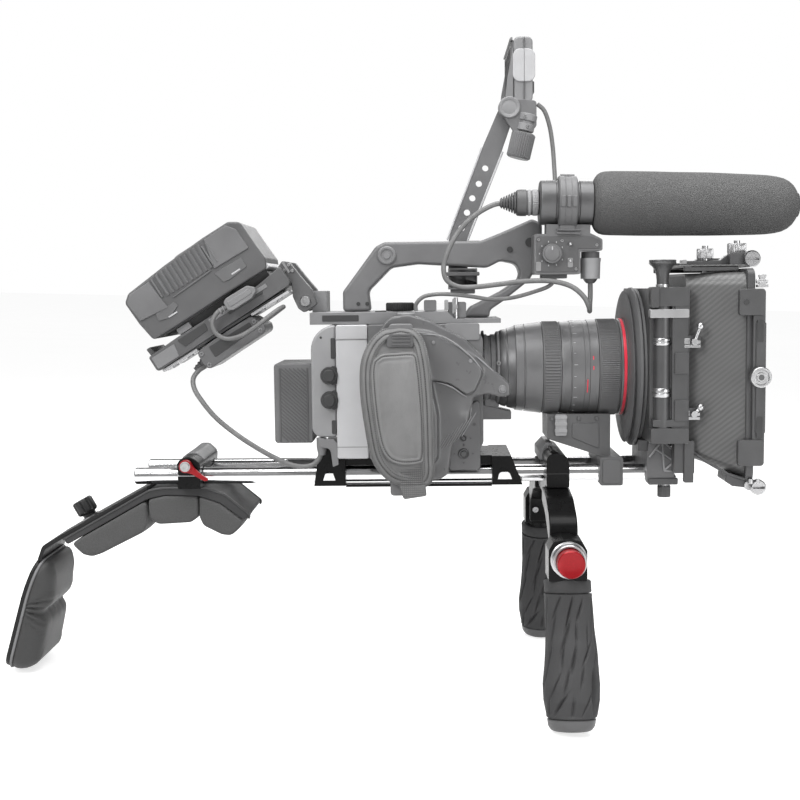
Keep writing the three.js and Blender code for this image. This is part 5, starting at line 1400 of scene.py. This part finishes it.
# ---------- matte box ----------
def add_matte_box():
    donut = Form().turned('x', [[172.2, 44.1], [171.8, 46.2], [172, 52.5], [172.2, 56.4], [172.4, 61],
        [172.6, 65], [172.9, 67.8], [173.4, 68.6], [173.9, 67], [174.4, 65.4], [175, 65], [176, 66.6],
        [177, 69.6], [178.4, 71.3], [180.4, 71.6], [181.4, 70.6], [182, 69.4], [183, 69.6], [184, 70.6],
        [184, 45.4], [176, 44.1]], 0, OPTICAL_AXIS, 128)
    piece("donut_bellows", donut, LENS_RUBBER, "matte_box", edge=0, replaces="matte_donut",
        angle=40)

    refined("matte_stage", STAGE, "matte_box", 0.9)
    tops = Form()
    tops.block('y', (183.4, 216, 148, 164, 1.5), -88, -72).block('y', (183.4, 190, 147, 164.4, 1), -90, -76)
    tops.block('y', (184, 216, 32, 45, 1.5), -88.6, -76).block('y', (213, 221, -2, 34, 1), -84, -78)
    tops.block('y', (186, 214, 46, 52, 1), -86.6, -78)
    for z in (148, 100, 60):
        tops.block('y', (204, 216, z - 9, z + 9, 1.2), -87.4, -80)
    for side in (-1, 1):
        for z, up in ((50, 1), (136, -1)):
            tops.slab('x', [[side * 68, z - 6 * up], [side * 68, z + 22 * up], [side * 40, z - 6 * up]],
                184.6, 186)
    tops.block('y', (199, 217, 44, 139, 1), -83, -76).block('y', (205.4, 206.4, 50, 136, 0.4), -83.8, -82)
    piece("stage_blocks", tops, STAGE, "matte_box", edge=0.9)
    column = Form().turned('z', [[36, 0], [36, 6.9], [163.2, 6.9], [163.2, 0]], *STAGE_COLUMN, 48)
    piece("stage_column", column, STAGE, "matte_box", edge=0.4)
    bright = Form().block('y', (183, 215.6, 138.4, 145.6, 1), -88.2, -78)
    for z0, z1 in ((115, 121.4), (71, 79)):
        middle = (z0 + z1) / 2
        bright.turned('z', [[z0, 0], [z0, 7.2], [z0 + 0.8, 7.7], [middle - 0.6, 7.7], [middle, 7.0],
            [middle + 0.6, 7.7], [z1 - 0.8, 7.7], [z1, 7.2], [z1, 0]], *STAGE_COLUMN, 48)
    bright.turned('z', [[160, 0], [160, 5.6], [166.6, 5.6], [166.6, 0]], *STAGE_COLUMN, 48)
    piece("stage_bright_rings", bright, BRIGHT, "matte_box", edge=0.3)
    for z in (118, 57):
        lugs = Form()
        for x0, x1, z0, z1 in ((212, 225.6, -5, -2.6), (212, 217, -1.6, 3), (220, 225.6, -1.6, 1)):
            lugs.block('y', (x0, x1, z + z0, z + z1, 0.6), -86.2, -80)
        piece(f"tray_lug_{z}", lugs, BRIGHT, "matte_box", edge=0.3)
    for name, z, lean, top in (("upper", 118, 20, 13), ("lower", 57, 42, 7)):
        lever = Form().bar('y', 2.7, -8.2, -3.2, 0, 0, 32).bar('z', 1.5, 0, top, 0, -6, 20).ball(0, -6,
            top + 1, 3.2)
        piece(f"tray_lever_{name}_arm", lever, BRIGHT, f"tray_lever_{name}_body", at(220, -83.3, z, lean),
            0.4, f"tray_lever_{name}")
    latch = Form().turned('z', [[163.4, 0], [163.4, 4.9], [170, 5.0], [174, 5.4], [178, 6.6], [181, 8.4],
        [183.2, 10.8], [183.8, 11.3], [184.6, 11.5], [185.2, 11.1], [185.8, 11.4], [186.8, 11.2],
        [187, 10.4], [186.6, 6], [186.5, 0]], *STAGE_COLUMN, 64)
    piece("latch_mushroom", latch, STAGE, "latch_knob_body", edge=0, replaces="latch_knob")

    def section(x, inset):
        t = (x - HOOD_BACK) / (HOOD_FRONT - HOOD_BACK)
        ring = []
        for p in rounded(rectangle(-95 + inset, 95 - inset, 3 + inset, 176 - inset, 12), 8):
            low = 93 + (p.y - 89.5) * (0.95 if p.y > 89.5 else 0.845)
            ring.append((x, p.x * (0.77 + 0.23 * t), low * (1 - t) + p.y * t))
        return ring

    xs = [HOOD_BACK + (HOOD_FRONT - HOOD_BACK) * k / 10 for k in range(11)]
    hood = Form().loft([section(x, 0) for x in xs] + [section(x, 2.5) for x in reversed(xs)], wrap=True)
    piece("hood_shell", hood, CARBON, "matte_box", edge=0.3, replaces="matte_hood", angle=40)
    rings = []
    for x, half, low, high in (
            (261.4, 97.4, 0.6, 178.4), (262, 98, 0, 179), (267.4, 98, 0, 179), (268, 97.4, 0.6, 178.4),
            (268, 92.9, 5.1, 173.9), (267.4, 92.5, 5.5, 173.5), (261.4, 92.5, 5.5, 173.5)):
        rings.append([(x, p.x, p.y) for p in rounded(rectangle(-half, half, low, high, 8), 8)])
    piece("hood_rim", Form().loft(rings, wrap=True), STAGE, "matte_box", edge=0)
    liner = Form().loft([[(x, y * wide, 93 + (z - 93) * tall) for _, y, z in section(216.2, 2.6)] for x,
        wide, tall in ((217, 0.998, 1), (217.4, 0.8, 0.72), (215.8, 0.8, 0.72), (215.6, 0.998, 1))],
        wrap=True)
    piece("hood_back_panel", liner, DEEP, "matte_box", edge=0)
    rails = Form()
    for side in (-1, 1):
        rails.block('y', (265.6, 276, 15, 161, 2), side * 96.6, side * 101.6)
        rails.block('y', (268, 276.4, 42, 134, 1), side * 97, side * 102.8)
        for z0, z1 in ((14.6, 36.5), (140, 162)):
            rails.block('y', (253.5, 275, z0, z1, 2.5), side * 98, side * 104.4)
    piece("hood_side_rails", rails, STAGE, "matte_box", edge=0.8)
    marks = Form()
    for side in (-1, 1):
        marks.bar('y', 2.4, side * 103.6, side * 104.7, 259.5, 151, 32)
        for z in (118, 38):
            marks.block('y', (269, 274, z, z + 18, 1), side * 102, side * 103.2)
    piece("hood_rail_marks", marks, RECESS, "matte_box", edge=0.1)
    thumb, wells = Form(), Form()
    for side in (-1, 1):
        y = lambda t, s=side: s * t
        thumb.turned('y', [[y(101), 0], [y(101), 7], [y(104), 7], [y(104.6), 8.6], [y(109.4), 8.6], [y(110),
            8.0], [y(110), 6.6], [y(108.6), 6.0], [y(108.6), 4.0], [y(110), 3.6], [y(110), 0]], 271, 89, 64)
        wells.turned('y', [[y(107.6), 0], [y(107.6), 2.4], [y(110.1), 2.4], [y(110.2), 0]], 271, 89, 48)
    piece("hood_thumbscrews", thumb, BRIGHT, "matte_box", edge=0.2)
    piece("hood_thumbscrew_wells", wells, DEEP, "matte_box", edge=0)
    hook = Form().block('y', (269, 278, 163, 165.4, 0.6), -101, -95).bar('x', 1.8, 268.5, 278, -98, 168, 20)
    hook.slab('y', [[270, 165, 1], [277, 165, 1], [275, 168.5, 1], [277.5, 173.5, 1], [270, 173.5, 1],
        [272, 168.5, 1]], -99.5, -96.5)
    hook.bar('z', 2.2, -1.2, 3, 266, -97, 20).bar('z', 1.9, -1.2, 3, 272, -97, 20)
    piece("hood_hardware", hook, BRIGHT, "matte_box", edge=0.3)
    lower = Form().tube([(216, -75, 27.2), (232, -83, 15.8), (249, -91, 6), (262, -95, 2.4)], 1.3, 12)
    lower.slab('y', [[247, 7, 1], [264, 2.2, 1], [264, -5.4, 1], [252, -4, 1], [246, 0, 1]], -92, -60)
    piece("hood_lower_bracket", lower, STAGE, "matte_box", edge=0.7)
    knob = Form().socket_screw('y', 6.6, -98.4, -92, 272.6, -4.4, -1, slot=True)
    knob.bar('y', 4.2, -93, -84, 266, -3.4, 40)
    piece("hood_lower_knob", knob, BRIGHT, "matte_box", edge=0)

    flag = Form().slab('z', rectangle(213, 272, -78, 78, 6), 180, 182.4, arc=6)
    piece("flag_plate", flag, CARBON, "top_flag_body", edge=0.5, replaces="top_flag")
    bars = Form()
    for y in (-60, 60):
        bars.slab('y', [[214, 182, 1], [216, 186, 1], [246, 186.4, 1], [251, 190.4, 2], [273, 190.4, 2],
            [276, 187, 2], [276, 180.4, 1], [214, 180.4, 1]], y - 5.5, y + 5.5)
    bars.block('y', (252, 275, 180.2, 192.6, 2), -74, -62)
    for side in (-1, 1):
        bars.block('y', (213, 259, 177, 182, 1), side * 74, side * 78)
    piece("flag_bars", bars, STAGE, "top_flag_body", edge=0.8)
    silver = Form()
    for x, z, r in ((234, 186.8, 7), (261, 191, 8)):
        silver.bar('z', 3.2, z - 1.5, z + 1.5, x, -60, 32)
        silver.knurled('z', r, z + 1, z + 9.5, x, -60, 40, 0.4)
        silver.bar('z', 2.6, z + 9, z + 12, x, -60, 32)
    silver.socket_screw('y', 7.2, -79, -73.6, 270, 187, -1, slot=True)
    silver.block('y', (213.6, 217.4, 183.4, 187, 0.6), -66, -54)
    piece("flag_knobs", silver, BRIGHT, "top_flag_body", edge=0)

    refined("matte_bracket", DARK, "matte_box", 1.0)
    struts = Form()
    for a, b in (((190, 15), (201, 30)), ((201, 30), (211, 21)), ((211, 21), (212, 2)), ((212, 2),
            (203, 3)), ((203, 3), (201, 30)), ((196, 22), (211, 12)), ((203, 3), (212, 12))):
        struts.tube([(a[0], -45, a[1]), (b[0], -45, b[1])], 0.9, 8)
    piece("bracket_struts", struts, GREY, "matte_box", edge=0)
    foot = Form().block('y', (189, 215, -9.4, -3.4, 1.5), -46, -30)
    foot.slab('y', [[181, 20, 1], [192, 20, 1], [195, 27, 3], [189, 30, 2], [181, 30, 1]], -40, -12)
    piece("bracket_blocks", foot, STAGE, "matte_box", edge=0.8)
    knob = Form().knurled('z', 5.8, -21, -10.8, 204, -38, 26, 0.4)
    piece("bracket_knob_knurled", knob, STAGE, "matte_knob_body", edge=0, replaces="matte_knob")
    collar = Form().turned('z', [[-10.9, 0], [-10.9, 4.2], [-8.8, 4.4], [-7.4, 4.4], [-7.4, 0]],
        204, -38, 40)
    piece("bracket_knob_collar", collar, BRIGHT, "matte_knob_body", edge=0)


# ---------- battery ----------
def add_battery():
    plate = Form().slab('y', [[-143, 16.4, 3], [-143, 31.6, 2], [-112, 33], [-32, 33], [-2, 37, 2],
        [-1, 19, 4]], -44.6, 44.6)
    plate.slab('y', [[-143, 30], [-144, 39.6, 1], [-139.6, 39.6, 1], [-138.4, 34, 1], [-134, 31]], -30, 30)
    plate.block('y', (-135, -12, 15.2, 18, 1), -39, 39)
    for side in (-1, 1):
        plate.slab('y', [[-5, 38.4, 3], [1.6, 41, 2], [6.4, 37, 2], [8, 22, 3], [10.4, 6, 4],
            [7.4, -7.6, 3], [-6.4, -8, 3], [-8.8, -2, 3], [-7.4, 9, 3], [-2, 20, 3]],
            side * 20.4, side * 32)
    piece("battery_plate_body", plate, DEEP, "battery_mount", BATTERY, 0.9, "battery_plate")
    recess = Form().slab('y', [[-113, 30.6, 1], [-84, 30.6, 1], [-85, 24, 1], [-110, 22, 1]], -45.2, -43.6)
    recess.block('y', (-109, -14, 32, 41.6, 1), -38, 38)
    recess.slab('y', [[-62, 25, 1], [-27, 25, 1], [-24, 31, 1], [-62, 31, 1]], -45.2, -43.6)
    piece("battery_plate_recess", recess, RECESS, "battery_mount", BATTERY, 0.3)
    blocks = Form().block('y', (-109, -96, 33.4, 39.4, 1), -43, -36)
    blocks.slab('y', [[-141, 18, 1], [-119, 18, 1], [-117, 29.6, 1], [-141, 29.6, 1]], -45.4, -43.8)
    blocks.block('y', (-80, -20, 27.6, 31.4, 1), -45.3, -43.8)
    piece("battery_plate_blocks", blocks, MID, "battery_mount", BATTERY, 0.5)
    flanges = Form().block('y', (-139, -103, 13.6, 16.0, 0.6), -42, -12)
    flanges.block('y', (-46, -7, 13.6, 16.0, 0.6), -42, -12)
    for u in (-128, -112, -36, -18):
        flanges.bar('z', 3.2, 12, 16, u, -35, 24)
    piece("battery_plate_flanges", flanges, PALE, "battery_mount", BATTERY, 0.3)
    bolts = Form().socket_screw('y', 4.8, -34, -31.6, 0, 0, -1)
    bolts.block('y', (0.6, 2.6, 29, 40, 0.5), -33.2, -31.4).block('y', (-4.4, -2.6, 27, 38, 0.5),
        -33.2, -31.4)
    for u, w in ((4.6, 35), (4.6, 29), (-1, 33)):
        bolts.socket_screw('y', 1.6, -33.6, -31.6, u, w, -1)
    piece("battery_plate_bolts", bolts, BRIGHT, "battery_mount", BATTERY, 0)

    block = Form().slab('y', [[-105, -6, 5], [-105.4, 13, 5], [-86, 14.5], [-47, 14.5, 4], [-40.6, 2, 3],
        [-42.6, -4.6, 5]], -42, 16)
    piece("converter_case", block, BLACK_GREY, "battery_mount", BATTERY, 1.6, "dc_converter",
        segments=3)
    lid = Form().slab('y', [[-93, 0.4, 1], [-93, 11, 1], [-51, 10.4, 1], [-50.6, 2.4, 1]], -42.6, -41)
    piece("converter_lid", lid, RECESS, "battery_mount", BATTERY, 0.3)
    fixings = Form()
    for u, w in ((-101.6, 9.4), (-101, -2.4), (-46.4, -1), (-47, 8.6)):
        fixings.socket_screw('y', 2.2, -43.0, -41.6, u, w, -1)
    piece("converter_screws", fixings, MID, "battery_mount", BATTERY, 0)
    gland = Form()
    relief(gland, (-103, -30, 3.6), (-116, -30, 0.6), 4.6, 4, BATTERY)
    piece("converter_gland", gland, DEEP, "battery_mount", edge=0)

    body = Form().slab('y', [[-133, 60, 2], [-130, 41.5, 4], [-12, 41.5, 3], [-8, 50, 4], [-9, 64],
        [-10, 88, 6], [-19, 93.6, 6], [-46, 93.6, 3], [-86, 91.4, 3], [-127, 87.6, 6], [-134, 82, 5]],
        -49, 49, arc=8)
    piece("battery_body", body, DEEP, "v_battery_body", BATTERY, 2.6, "v_battery", segments=4)
    panels, ribs, steps = Form(), Form(), Form()
    for side in (-1, 1):
        near, far = side * 46, side * 50.4
        panels.slab('y', [[-130.6, 61.6, 1], [-132.4, 81, 4], [-126.4, 86, 4], [-105.4, 86.6, 1],
            [-103, 58.6, 1]], near, far)
        panels.slab('y', [[-51, 65.4, 1], [-45, 91.4, 1], [-22, 91.8, 3], [-16, 84, 3], [-15.4, 64.6, 1]],
            near, far)
        for k in range(10):
            u = -100.4 + 5.0 * k
            ribs.slab('z', [[u, side * 48.4], [u + 4.2, side * 51.2, 0.4], [u + 4.8, side * 48.4]],
                67.6, 88.6 + 0.24 * k)
        for u in (-103.6, -98.4, -50.4, -45.8):
            ribs.slab('z', [[u, side * 48.4], [u + 0.4, side * 50.9, 0.4], [u + 1.8, side * 50.9, 0.4],
                [u + 2.2, side * 48.4]], 69.0, 88.0)
        steps.slab('y', [[-116, 60, 1], [-96, 60, 1], [-94.6, 55.6, 1], [-107, 50.4, 2], [-116.6, 53, 1]],
            near, side * 49.9)
        steps.slab('y', [[-53, 62, 1], [-25.4, 61.4, 1], [-25.4, 52, 1], [-44, 50.4, 1], [-50, 51.4, 1]],
            near, side * 49.9)
        steps.slab('y', [[-95, 64.6], [-54, 66.6], [-54, 65.2], [-95, 63.2]], near, side * 50.2)
    piece("battery_panels", panels, DARK, "v_battery_body", BATTERY, 0.8)
    piece("battery_ribs", ribs, DARK, "v_battery_body", BATTERY, 0.25)
    piece("battery_steps", steps, BLACK_GREY, "v_battery_body", BATTERY, 0.5)
    crown = Form().loft([[(u, v, w) for u, v in rounded(rectangle(*sides))] for w, sides in (
        (93.4, (-80, -24, -36, 36, 8)), (94.6, (-78, -26, -34, 34, 7)), (94.4, (-70, -34, -26, 26, 5)))])
    piece("battery_crown", crown, MID, "v_battery_body", BATTERY, 0)
    # Painted highlights: small pale patches on the battery's side and along its front edge.
    shines = Form()
    for u, w in ((-36, 52.6), (-103, 50.6)):
        shines.block('y', (u - 4.5, u + 4.5, w, w + 1.4, 0.6), -50.1, -48.6)
    shines.block('y', (-13.6, -9.4, 41.6, 46, 1), -46, 46)
    piece("battery_painted_shines", shines, PALE, "v_battery_body", BATTERY, 0.3)
    # Painted shade: a near-black strip under the battery body, filling the gap above the plate.
    gap = Form().block('y', (-124, -50, 40, 42.4, 0.5), -42, 42)
    piece("battery_gap_painted_shade", gap, RECESS, "v_battery_body", BATTERY, 0.3)


add_rods()
add_baseplate()
add_shoulder()
add_back_pad()
add_handles()
add_camera_body()
add_hand_grip()
add_strap()
add_top_handle()
add_audio()
add_monitor()
add_lens()
add_matte_box()
add_battery()


# ---------- floor and light ----------
def add_stage():
    mesh = bpy.data.meshes.new("floor")
    half = 30
    mesh.from_pydata([(-half, -half, 0), (half, -half, 0), (half, half, 0), (-half, half, 0)], [],
        [(0, 1, 2, 3)])
    floor = bpy.data.objects.new("floor", mesh)
    bpy.context.scene.collection.objects.link(floor)
    n = Nodes("floor_white")
    tone = n.blend(n.span(n.noise(400, 2.0), 0.3, 0.7), grey(0.86), grey(0.9))
    n.bsdf.inputs["Emission Color"].default_value = WHITE
    n.bsdf.inputs["Emission Strength"].default_value = 0.62
    mesh.materials.append(n.out(colour=tone, rough=0.16, spec=0.35))
    floor.visible_diffuse = False
    world = bpy.data.worlds.new("studio")
    world.use_nodes = True
    tree = world.node_tree
    seen = tree.nodes["Background"]
    seen.inputs[1].default_value = 1.0
    seen.inputs[0].default_value = WHITE
    around = tree.nodes.new('ShaderNodeBackground')
    around.inputs[0].default_value = WHITE
    around.inputs[1].default_value = 0.36
    mix = tree.nodes.new('ShaderNodeMixShader')
    tree.links.new(tree.nodes.new('ShaderNodeLightPath').outputs['Is Camera Ray'], mix.inputs[0])
    tree.links.new(around.outputs[0], mix.inputs[1])
    tree.links.new(seen.outputs[0], mix.inputs[2])
    tree.links.new(mix.outputs[0], tree.nodes["World Output"].inputs[0])
    bpy.context.scene.world = world
    add_light("top", (-0.05, -0.25, 1.9), (0, 0, 0.2), 1.7, 46)
    add_light("front_left", (-1.3, -1.7, 1.5), (0, 0, 0.2), 0.9, 30)
    add_light("front_right", (1.5, -1.7, 0.6), (0, 0, 0.2), 0.8, 16)
    add_light("low_fill", (0.2, -1.7, 0.1), (0, 0, 0.3), 0.9, 7, glossy=False)
    add_light("back", (0.3, 1.9, 1.4), (0, 0, 0.3), 1.2, 16)
    bpy.context.scene.view_settings.view_transform = 'Standard'


add_stage()
